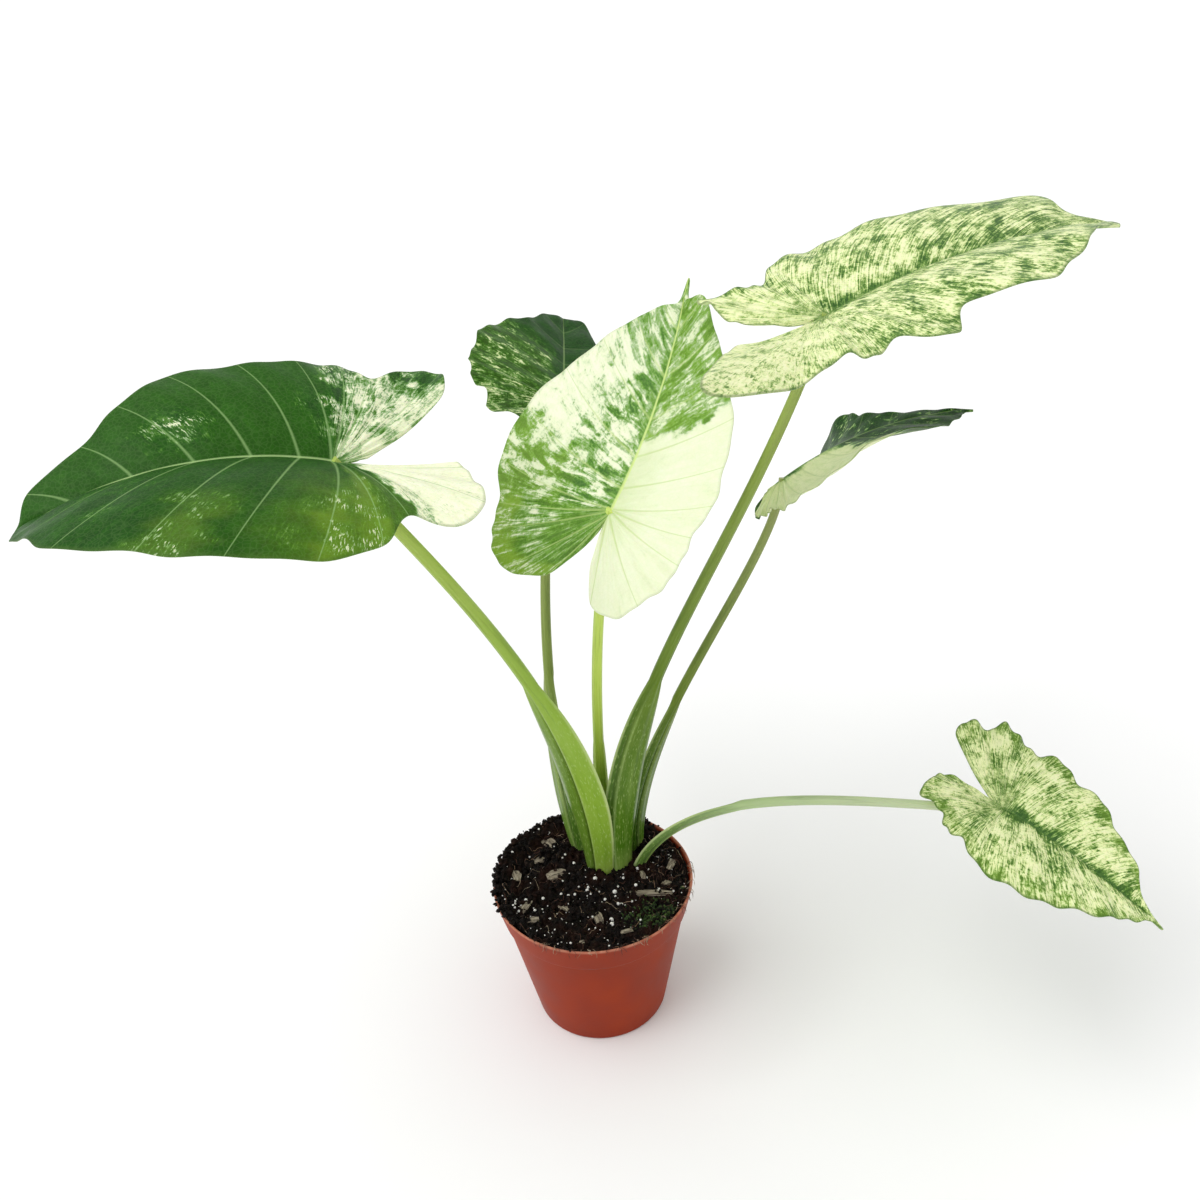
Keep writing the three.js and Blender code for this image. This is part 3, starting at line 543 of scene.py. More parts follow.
where = add_node(tree, "TexCoord").outputs["Object"]
knots = add_node(tree, "TexNoise", where, Scale=500.0, Detail=3.0)
darker = add_node(tree, "MapRange", knots, From_Min=0.45, From_Max=0.7, To_Max=0.7)
knotted = add_node(tree, "Mix", Factor=darker, A=dry, B="#22140d", data_type="RGBA")
feed(surface, Base_Color=knotted)
attach(fibres, rootlet)

# Moss: a low dark green cushion of tiny tufts at the front right, grown on the damp peat.
TUFTS, MOSS_X, MOSS_Y = 520, (35, 8), (-31, 6)  # places are a middle and a spread
x, y = random.normal(*MOSS_X, TUFTS), random.normal(*MOSS_Y, TUFTS)
inside = np.hypot(x, y) < MIX_REACH
x, y = x[inside], y[inside]
tuft_size = random.uniform(0.4, 0.95, (len(x), 1)) * random.uniform(0.7, 1.3, (len(x), 3))
moss = add_mesh("moss_tufts", *scattered(ball(0), on_soil(x, y, 0.1), tuft_size, 0.45, random),
                sharp=20)
moss_green, tree, surface = new_material("damp_moss", Roughness=0.85, IOR=1.4)
where = add_node(tree, "TexCoord").outputs["Object"]
leafy = add_node(tree, "TexNoise", where, Scale=700.0, Detail=4.0)
mossy = add_node(tree, "ValToRGB", leafy, stops=[
    (0.3, "#10190a"), (0.5, "#263a17"), (0.66, "#4a6128"), (0.8, "#8a9850")])
feed(surface, Base_Color=mossy)
attach(moss, moss_green)


# Stem base: the short buried stump that the leaf stalks stand on, pale and fleshy, with
# the brown scars of shed leaves round it.

stem_flesh, tree, surface = new_material("corky_stem_flesh", Roughness=0.7, IOR=1.4)
where = add_node(tree, "TexCoord").outputs["Object"]
scars = add_node(tree, "TexWave", where, Scale=45.0, Distortion=3.0, bands_direction="Z")
corky = add_node(tree, "ValToRGB", scars,
                 stops=[(0.0, "#6b4f33"), (0.3, "#b3a877"), (1.0, "#cfc99a")])
feed(surface, Base_Color=corky)
stem_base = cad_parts["stem_base"]
stem_base.data.materials.clear()
stem_base.data.materials.append(stem_flesh)


# Leaf stalks: juicy green petioles. Each foot is an open sheath with thin pale margins
# that clasps its neighbours, closing upwards to a round, faintly ribbed stalk.

# Each stalk has its path's ends and handles, the half width of its sheath and the bearing it
# opens towards, how far up the sheath closes, the stalk's radius at its foot and top, where
# across the sheath it is creased, how far its end is sunk below its blade, and its colours
# at the very foot, the sheath, the middle and the top.
STALKS = {
    "left": dict(path=[(5, 13, 80), (8, 7, 199), (-41, -17, 293), (-100, -36.6, 394)],
                 sheath=14, outward=240, shoulder=0.50, radius=4.6, top_radius=3.1,
                 crease=0.12, colours=("#a9c25e", "#86ab36", "#90b23e", "#b2c664")),
    "upper_right": dict(path=[(17, 12, 80), (12, 10, 222), (84, 4, 291), (131, 2, 432.5)],
                        sheath=12, outward=300, shoulder=0.42, radius=4.1, top_radius=2.5,
                        crease=0.74, colours=("#a3c060", "#4a7414", "#647f24", "#a2b262")),
    "low_right": dict(path=[(24, 14, 80), (45, 9, 170), (169, -25, 155), (230.5, -35.6, 157.3)],
                      sheath=7, outward=320, shoulder=0.40, radius=3.4, top_radius=2.3,
                      crease=0.2, sunk=2.4,
                      colours=("#c2d890", "#86ac50", "#b2c892", "#d0d6ba")),
    "right": dict(path=[(28, 27, 80), (16, 35, 166), (114, 40, 274), (120.3, 54, 324.8)],
                  sheath=10, outward=320, shoulder=0.42, radius=3.2, top_radius=2.3,
                  crease=0.3, colours=("#a4ba5c", "#467012", "#6a802a", "#a0a870")),
    "back": dict(path=[(-4, 29, 80), (-23, 34, 163), (-22.5, 101, 265), (3.4, 121.5, 349)],
                 sheath=10.5, outward=215, shoulder=0.45, radius=3.4, top_radius=2.7,
                 crease=-0.3, colours=("#b6cc7a", "#5c8428", "#84964a", "#9aa568")),
    "centre": dict(path=[(10, 25, 80), (8, 25, 173), (9, 9, 259), (25.4, -7, 344.4)],
                   sheath=4.5, outward=275, shoulder=0.38, radius=3.2, top_radius=2.7,
                   crease=0.9, colours=("#c4d870", "#a8cc3c", "#bcd856", "#cfe378")),
}


def bezier(path, t):
    """Cubic curve through a path's ends, pulled by its two handles, and its direction."""
    p = np.array(path, float)
    t = t[:, None]
    place = (p[0] * (1 - t) ** 3 + 3 * p[1] * t * (1 - t) ** 2
             + 3 * p[2] * t ** 2 * (1 - t) + p[3] * t ** 3)
    way = ((p[1] - p[0]) * (1 - t) ** 2 + 2 * (p[2] - p[1]) * t * (1 - t)
           + (p[3] - p[2]) * t ** 2)
    return place, way / np.linalg.norm(way, axis=1, keepdims=True)


RIBS, RIB_DEPTH, CREASE_WIDTH, CREASE_DEPTH = 9, 0.05, 0.07, 0.32


def stalk_surface(stalk, rows=110, outer=44, inner=18):
    """Sections carried along the curve, whose end is sunk by a smooth step. The outward half
    is half an ellipse, with sine ribs and a bell-shaped crease; the inner half is an arc that
    is hollowed while the sheath is open, by a power of how open it is, and swells to close
    the ellipse above. A point closes each end. Returns the points and, for each, how far
    along and round it is, how open the sheath is, whether it is inside, and how deep in the
    crease."""
    t = np.linspace(0, 1, rows) ** 1.15
    centre, way = bezier(stalk["path"], t)
    centre[:, 2] -= stalk.get("sunk", 0.0) * smoothstep(t, 0.8, 1)
    angle = math.radians(stalk["outward"])
    out = np.array([math.cos(angle), math.sin(angle), 0])
    out = out - (way @ out)[:, None] * way
    out /= np.linalg.norm(out, axis=1, keepdims=True)
    side = np.cross(way, out)
    along = t / stalk["shoulder"]
    opening = np.clip(1 - along ** 4, 0, 1) ** 0.8
    flare = 0.5 + 0.5 * smoothstep(along, 0, 0.45)
    radius = stalk["radius"] + (stalk["top_radius"] - stalk["radius"]) * t
    half = radius + (stalk["sheath"] - radius) * opening * flare
    depth = radius * (1 + 0.35 * opening)
    hollow = -0.95 + 1.35 * opening ** 0.6
    over = np.linspace(0, math.pi, outer)
    under = np.linspace(math.pi, 0, inner + 2)[1:-1]
    turn = np.cos(np.concatenate([over, under]))
    reach = np.concatenate([depth[:, None] * np.sin(over),
                            (hollow * depth)[:, None] * np.sin(under)], 1)
    arc = np.concatenate([over, np.zeros(inner)])
    rib = RIB_DEPTH * np.sin(RIBS * arc) * np.sin(arc) ** 0.5 * radius[:, None]
    crease = np.exp(-((np.cos(arc) - stalk["crease"]) / CREASE_WIDTH) ** 2) * np.sin(arc)
    reach = reach + rib - CREASE_DEPTH * crease * depth[:, None] * opening[:, None]
    points = (centre[:, None] - side[:, None] * (half[:, None] * turn)[:, :, None]
              + out[:, None] * reach[:, :, None])
    ends = [np.repeat(points[k].mean(0)[None], points.shape[1], 0)[None] for k in (0, -1)]
    points = np.concatenate([ends[0], points, ends[1]])
    far, wide = (np.pad(value, 1, "edge")[:, None] for value in (t, opening))
    inside = np.concatenate([np.zeros(outer), np.sin(under)])
    return points, *np.broadcast_arrays(far, turn, wide, inside, crease)


def stalk_skin(name, colours):
    """Living petiole skin: waxy and juicy, softly clouded and faintly ribbed along it. The
    sheath has pale flecks that are painted highlights, painted shade in its crease, on its
    hollow inner face and on the wing beyond the crease, and a thin, almost clear edge."""
    pale, foot, middle, top = colours
    material, tree, surface = new_material(
        "petiole_skin_" + name, Roughness=0.3, IOR=1.42, Specular_IOR_Level=0.15,
        Subsurface_Weight=0.12, Subsurface_Radius=(0.5, 1.0, 0.2), Subsurface_Scale=0.0015,
        Coat_Weight=0.1, Coat_Roughness=0.15)
    along, sheath = (add_node(tree, "Attribute", attribute_name=layer).outputs["Vector"]
                     for layer in ("stalk", "sheath"))
    stalk, sheath = (add_node(tree, "SeparateXYZ", layer).outputs for layer in (along, sheath))
    skin = add_node(tree, "ValToRGB", stalk["X"],
                    stops=[(0.0, pale), (0.08, foot), (0.42, middle), (1.0, top)])
    # Clouds along it, pale flecks about 3 mm long and 1 mm wide on the open sheath, painted
    # highlights of its waxy skin, and ribs.
    cloud, fleck, ribs = (
        add_node(tree, "TexNoise", add_node(tree, "Mapping", along, Scale=scale), Scale=1.0,
                 Detail=detail, Roughness=rough)
        for scale, detail, rough in (((7.0, 2.6, 0.0), 4.0, 0.6), ((95.0, 15.0, 0.0), 3.0, 0.5),
                                     ((30.0, 22.0, 0.0), 3.0, 0.5)))
    lighter, darker, fleck = (
        add_node(tree, "MapRange", noise, From_Min=low, From_Max=high, To_Max=most)
        for noise, low, high, most in ((cloud, 0.5, 0.72, 0.28), (cloud, 0.48, 0.3, 0.3),
                                       (fleck, 0.57, 0.68, 0.55)))
    fleck = add_node(tree, "Math", fleck, stalk["Z"], operation="MULTIPLY")
    # Laid over in turn: lighter and darker clouds, painted shade on the wing beyond the crease,
    # the pale flecks that are painted highlights, the pale margins, then painted shade darkest in
    # the crease and on the hollow inner face.
    for share, colour in ((lighter, pale), (darker, "#2c500c"), (sheath["Z"], "#345a12"),
                          (fleck, "#bcd480"), (sheath["X"], "#cfdf9c"),
                          (sheath["Y"], "#1f380d")):
        skin = add_node(tree, "Mix", Factor=share, A=skin, B=colour, data_type="RGBA")
    bump = add_node(tree, "Bump", Height=ribs, Strength=0.3, Distance=0.0003)
    feed(surface, Base_Color=skin, Normal=bump)
    return material


# Marks on a sheath: pale at its margins and in a line beside the crease; painted shade darkest in
# the crease and on the hollow inner face, and a lighter painted shade on the wing beyond the
# crease, which turns away from the light.
for name, stalk in STALKS.items():
    points, far, turn, wide, inside, crease = stalk_surface(stalk)
    past = (turn - stalk["crease"]) * math.copysign(1, stalk["crease"])
    thin = 0.75 * smoothstep(np.abs(turn), 0.93, 1.0) + 0.25 * np.exp(
        -((past + 0.14) / 0.05) ** 2)
    # Painted shade on the wing beyond the crease, then in the crease and on the hollow inner
    # face.
    shade_beyond_crease = 0.6 * smoothstep(past, 0.0, 0.1)
    crease_shade = np.maximum(crease, smoothstep(inside, 0.1, 0.8)) * 0.75
    stalk_values = np.stack([far, turn, wide], -1).reshape(-1, 3)
    sheath_values = (np.stack([thin, crease_shade, shade_beyond_crease], -1) * wide[..., None]).reshape(-1, 3)
    petiole = add_mesh("petiole_" + name, points, grid_triangles(*points.shape[:2], closed=True),
                       {"stalk": stalk_values, "sheath": sheath_values}, sharp=70)
    attach(petiole, stalk_skin(name, stalk["colours"]), "stalk_" + name)


# Leaf blades: six thin leathery blades, each on its stalk. Side veins sweep from a pale
# midrib to the waved margin, and cream sectors, streaks and flecks run along them.

# A blade is laid out by its veins, each with its bearing from the junction with the stalk.
# Those ahead of ON_MIDRIB start along the midrib, and only the main veins stand out.
BEARINGS = np.radians([0, 6, 14, 26, 42, 60, 80, 98, 112, 124, 136, 148, 160, 170, 177, 180])
VEINS, ON_MIDRIB, NOTCH, VEIN_BOW = 15, 6, 9.0, 0.15
MAIN_VEINS = np.array([1, 2, 3, 4, 5, 6, 7, 8, 10, 12, 14.0])

# Each blade has the way it heads, pitches and rolls, its droop ahead of the junction and its
# dip behind it, the fold at the midrib and the arch across, all in degrees, the length of its
# drip tip, its ruffle, the height, number and phase of its waves, and the reach of each
# half's veins. A fold of its own for a half is given at the junction and towards the tip.
BLADES = {
    "left": dict(heading=197, pitch=21, roll=-10.5, droop=52, dip=-26, fold=28, arch=32,
                 drip=4, ruffle=0.010, wave=1.4, waves=6, phase=0.6,
                 left=[146, 141, 132, 124, 109, 100, 89, 80, 66, 82, 86, 72, 62, 50, 28],
                 right=[146, 133, 109, 97, 89, 75, 68, 79, 64, 82, 87, 67, 24, 14, 9]),
    "centre": dict(heading=52, pitch=35.5, roll=-7, droop=-27, dip=-2, fold=7, arch=7,
                   drip=13, ruffle=0.006, wave=1.0, waves=5, phase=1.5,
                   left=[124, 110, 105, 99, 96, 96, 86, 72, 69, 67, 63, 54, 44, 20, 10],
                   right=[124, 116, 101, 87, 75, 63, 59, 56, 59, 64, 65, 65, 55, 31, 13]),
    "upper_right": dict(heading=27, pitch=14, roll=-0.5, droop=24, dip=-28, fold=23, arch=45,
                        drip=0, ruffle=0.012, wave=1.6, waves=7, phase=2.4,
                        left=[191, 166, 173, 120, 83, 65, 55, 45, 49, 65, 56, 48, 38, 17, 9],
                        right=[191, 165, 139, 118, 99, 68, 73, 59, 66, 67, 98, 143, 84, 55, 22]),
    "back": dict(heading=88, pitch=4.5, roll=26.5, droop=5, dip=-5, fold=10.5, arch=16,
                 drip=0, ruffle=0.014, wave=1.4, waves=7, phase=0.2,
                 left=[139, 130, 106, 93, 80, 67, 60, 58, 54, 55, 64, 51, 46, 26, 10],
                 right=[139, 137, 101, 90, 77, 69, 63, 62, 62, 66, 70, 70, 55, 29, 10]),
    "right": dict(heading=4, pitch=35, roll=-30.5, droop=34, dip=24, arch=-22.5,
                  fold_left=(-25, 17.5), fold_right=(-30.5, -20), drip=4, ruffle=0.012,
                  wave=1.2, waves=6, phase=0,
                  left=[106, 85, 69, 58, 61, 64, 64, 48, 36, 31, 32, 32, 28, 15, 9],
                  right=[106, 100, 96, 93, 77, 62, 50, 38, 31, 28, 28, 28, 25, 14, 9]),
    "low_right": dict(heading=-44, pitch=-12, roll=3, droop=17, dip=-21, fold=23.5, arch=22.5,
                      drip=6, ruffle=0.016, wave=1.2, waves=7, phase=1.0,
                      left=[98, 78, 72, 60, 54, 47, 47, 43, 49, 56, 50, 56, 50, 18, 9],
                      right=[98, 87, 81, 74, 66, 62, 53, 46, 47, 45, 54, 48, 41, 32, 13]),
}


def margin_place(reaches, drip, u):
    """Margin at vein count u: a Catmull-Rom curve through the ends of the veins, each at
    its reach from the junction on its bearing. At the very tip a narrow bell curve draws
    it out by the length of the drip tip."""
    reach = np.append(np.array(reaches, float), NOTCH)
    reach[0] -= drip
    ends = np.stack([reach * np.cos(BEARINGS), reach * np.sin(BEARINGS)], 1)
    x = u * (len(ends) - 1)
    i = np.clip(np.floor(x).astype(int), 0, len(ends) - 2)
    w = (x - i)[..., None]
    a, b = ends[np.maximum(i - 1, 0)], ends[i]
    c, d = ends[i + 1], ends[np.minimum(i + 2, len(ends) - 1)]
    start, finish = (c - a) / 2, (d - b) / 2
    curve = ((2 * b - 2 * c + start + finish) * w ** 3
             + (3 * c - 3 * b - 2 * start - finish) * w ** 2 + start * w + b)
    return curve + np.exp(-(x / 0.2) ** 2)[..., None] * np.array([drip, 0.0])


def midrib_shares(u):
    """Where vein u starts: its share of the way from the tip to the junction along the
    midrib, and from there of the way back to the notch."""
    k = u * VEINS
    return np.clip(k / ON_MIDRIB, 0, 1), np.clip((k - ON_MIDRIB) / (VEINS - ON_MIDRIB), 0, 1)


SCALLOPS, FINE_SCALLOPS = 9.5, 17


def flat_place(blade, side, u, s):
    """Flat place of share s along vein u: a straight run from the vein's start on the
    midrib to its end on the margin, bowed by s times (1 - s). Two sines along the margin
    ruffle it by a share of its reach."""
    front, back = midrib_shares(u)
    start = blade["left"][0] * (1 - front) ** 1.3 - NOTCH * back ** 1.5
    end = margin_place(blade["left" if side > 0 else "right"], blade["drip"], u)
    scallop = (np.sin(2 * math.pi * SCALLOPS * u + 3 * side)
               + 0.6 * np.sin(2 * math.pi * FINE_SCALLOPS * u + side))
    end = end * (1 + blade["ruffle"] * scallop * np.sin(math.pi * u))[..., None]
    ahead = end[..., 0] - start
    bow = VEIN_BOW * (1 - back) * s * (1 - s)
    return start + ahead * s - end[..., 1] * bow, side * (end[..., 1] * s + ahead * bow)


DIP_RUN, ARCH_RUN, FOLD_TURNS = 0.45, 0.42, (0.05, 0.55)  # shares of the blade's length


def bent_place(blade, a, b, side):
    """The flat place bent three ways: each half rises by its fold and curves by the arch
    across, and the whole follows an arc of the droop forward of the junction, or of the
    dip behind it."""
    length = blade["left"][0]
    bend = np.where(a >= 0, -math.radians(blade["droop"]) / length,
                    -math.radians(blade["dip"]) / (DIP_RUN * length))
    pair = blade.get("fold_left" if side > 0 else "fold_right", (blade.get("fold"),) * 2)
    fold = np.radians(pair[0] + (pair[1] - pair[0]) * smoothstep(a / length, *FOLD_TURNS))
    arch = -math.radians(blade["arch"]) / (ARCH_RUN * length)
    width = np.abs(b)
    y = side * (np.sin(fold + arch * width) - np.sin(fold)) / arch
    rise = (np.cos(fold) - np.cos(fold + arch * width)) / arch
    x, z = np.sin(bend * a) / bend, (1 - np.cos(bend * a)) / bend
    return np.stack([x - np.sin(bend * a) * rise, y, z + np.cos(bend * a) * rise], -1)


def bent_normal(blade, a, b, side):
    """Upward normal: the cross product of small steps forward and to the left."""
    step = 0.01
    wide = np.where(np.abs(b) < 2 * step, side * 2 * step, b)
    ahead = bent_place(blade, a + step, b, side) - bent_place(blade, a - step, b, side)
    left = bent_place(blade, a, wide + step, side) - bent_place(blade, a, wide - step, side)
    normal = np.cross(ahead, left)
    return normal / np.linalg.norm(normal, axis=-1, keepdims=True)


# Relief: panels swell between veins, the margin is frilled and waved, and veins are sunk a
# little above and stand out below, as the midrib does. The skin thins at the margin.
SWELL, FRILL, FRILLS, VEIN_SUNK, VEIN_OUT, RIB_OUT = 1.1, 60, 17.5, 0.25, 0.5, 2.3
SUNK_WIDTH, VEIN_WIDTH, RIB_WIDTH, SKIN, EDGE_THINNED = 1.1, 0.9, 1.7, 0.75, 0.25


def blade_half(blade, side, rows=210, columns=30):
    """One half on a grid of vein count u and share s. Gives the points of both faces, the
    flat places, the distances from the nearest vein and from the midrib, in widths of that
    line, and the vein count and length along it."""
    u = np.repeat(np.linspace(0, 1, rows + 1)[:, None], columns + 1, 1)
    s = np.repeat((np.linspace(0, 1, columns + 1) ** 1.25)[None], rows + 1, 0)
    s[[0, -1]] = 0
    a, b = flat_place(blade, side, u, s)
    middle = bent_place(blade, a, b, side)
    normal = bent_normal(blade, a, b, side)
    spine = bent_normal(blade, a, 0 * b, 1) + bent_normal(blade, a, 0 * b, -1)
    spine /= np.linalg.norm(spine, axis=-1, keepdims=True)
    normal = np.where((s == 0)[..., None], spine, normal)
    front, back = midrib_shares(u)
    k = u * VEINS
    nearest = MAIN_VEINS[np.abs(k[..., None] - MAIN_VEINS).argmin(-1)]
    here = np.stack([a, b], -1)
    there = np.stack(flat_place(blade, side, nearest / VEINS, s), -1)
    along = np.stack(flat_place(blade, side, nearest / VEINS, s + 0.01), -1) - there
    along /= np.linalg.norm(along, axis=-1, keepdims=True) + 1e-9
    off = here - there
    vein_gap = np.abs(off[..., 0] * along[..., 1] - off[..., 1] * along[..., 0])
    start = np.stack(flat_place(blade, side, u, 0 * s), -1)
    run = np.linalg.norm(here - start, axis=-1)
    rib_gap = np.hypot(b, np.minimum(a, 0))
    panel = np.sin(math.pi * k) ** 2 * np.sin(math.pi * s) ** 0.7 * (1 - 0.6 * back)
    swing = np.sin(2 * math.pi * blade["waves"] * u + blade["phase"] + side)
    ends = np.sin(math.pi * u) ** 0.5
    wave = blade["wave"] * swing * ends * s ** 2.5
    frill = FRILL * blade["ruffle"] * np.sin(
        2 * math.pi * FRILLS * u + 5 * side) * ends * smoothstep(s, 0.7, 1)
    sunk = -VEIN_SUNK * np.exp(-(vein_gap / SUNK_WIDTH) ** 2) * (1 - s) * smoothstep(run, 0, 6)
    high = SWELL * panel + wave + frill + sunk
    high[[0, -1]] = 0
    rib = RIB_OUT * (0.25 + 0.75 * front) * (1 - back) * np.exp(-(b / RIB_WIDTH) ** 2)
    vein = VEIN_OUT * np.exp(-(vein_gap / VEIN_WIDTH) ** 2) * (1 - s) * (1 - back)
    thick = SKIN + np.maximum(rib, vein) - EDGE_THINNED * smoothstep(s, 0.9, 1)
    turn = [math.radians(blade[key]) for key in ("heading", "pitch", "roll")]
    spin = np.array(Matrix.Rotation(turn[0], 3, "Z") @ Matrix.Rotation(-turn[1], 3, "Y")
                    @ Matrix.Rotation(turn[2], 3, "X"))
    upper = (middle + normal * high[..., None]) @ spin.T
    lower = (middle + normal * (high - thick)[..., None]) @ spin.T
    return dict(upper=upper, lower=lower, a=a, b=b, k=k, s=s, run=run,
                vein=vein_gap / (0.22 + 0.5 * (1 - s) ** 1.5),
                rib=rib_gap / (0.3 + 0.7 * np.clip(1 - a / blade["left"][0], 0, 1)))


def band(value, low, high, soft):
    """1 between low and high, falling smoothly to 0 within soft of each."""
    return (smoothstep(value, low - soft, low + soft)
            * (1 - smoothstep(value, high - soft, high + soft)))


def painted(base, patches, half, side):
    """Base values laid over by patches in turn. A patch holds its side, the veins and the
    shares along them that it spans, and its own values, mixed in by a soft band whose
    limits wobble with slow sines."""
    k, s = half["k"], half["s"]
    wobble = (np.sin(half["run"] * 0.16 + k * 1.7) + np.sin(half["run"] * 0.37 - k * 2.9)
              + 0.7 * np.sin(half["run"] * 0.71 + k * 5.3))
    value = np.broadcast_to(np.array(base, float), k.shape + (len(base),)).copy()
    for where, k_low, k_high, s_low, s_high, k_soft, s_soft, values in patches:
        if where in (0, side):
            weight = band(k + 0.09 * wobble, k_low, k_high, k_soft)
            weight = weight * band(s + 0.02 * wobble, s_low, s_high, s_soft)
            value += weight[..., None] * (np.array(values, float) - value)
    return value


RIGHT_STREAKS = 400  # sets the right half's streaks apart from the left half's


def make_blade(name, blade, base, patches, drawn_out=1.0, lean=0.0):
    """Both halves as one closed skin: upper faces, lower faces and the margin between. The
    halves meet on the midrib, and the tip and the notch close to points. Drawn_out
    scales the length along the left half's veins, for shorter or longer streaks, and lean
    is how many veins its streaks cross on their way out towards the tip."""
    points, triangles = [], []
    layers = {"lines": [], "region": [], "veins": [], "flat": []}
    for side in (1, -1):
        half = blade_half(blade, side)
        k, s, run = half["k"], half["s"], half["run"]
        rows, columns = k.shape
        paint = painted(base, patches, half, side)
        size, first = rows * columns, sum(len(p) for p in points)
        faces = grid_triangles(rows, columns)
        edge = np.arange(rows) * columns + columns - 1
        strip = np.concatenate([
            np.stack([edge[:-1], edge[1:], edge[1:] + size], 1),
            np.stack([edge[:-1], edge[1:] + size, edge[:-1] + size], 1)])
        both = np.concatenate([faces, faces[:, ::-1] + size, strip[:, ::-1]])
        triangles.append((both if side < 0 else both[:, ::-1]) + first)
        points += [half["upper"].reshape(-1, 3), half["lower"].reshape(-1, 3)]
        if side > 0:
            run = run * drawn_out
            streak = 10 * (k + lean * s * np.clip(2 - k / ON_MIDRIB, 0, 1))
        else:
            streak = 10 * k + RIGHT_STREAKS
        for below in (0, 1):
            for key, values in (("lines", (half["vein"], half["rib"], 0 * k + below)),
                                ("region", (paint[..., 0], paint[..., 1], paint[..., 2])),
                                ("veins", (streak, run, s)),
                                ("flat", (half["a"], half["b"], paint[..., 3]))):
                layers[key].append(np.stack(values, -1).reshape(-1, 3))
    points = np.concatenate(points) + np.array(STALKS[name]["path"][3])
    return add_mesh("blade_" + name, points, np.concatenate(triangles),
                    {key: np.concatenate(values) for key, values in layers.items()}, sharp=75)


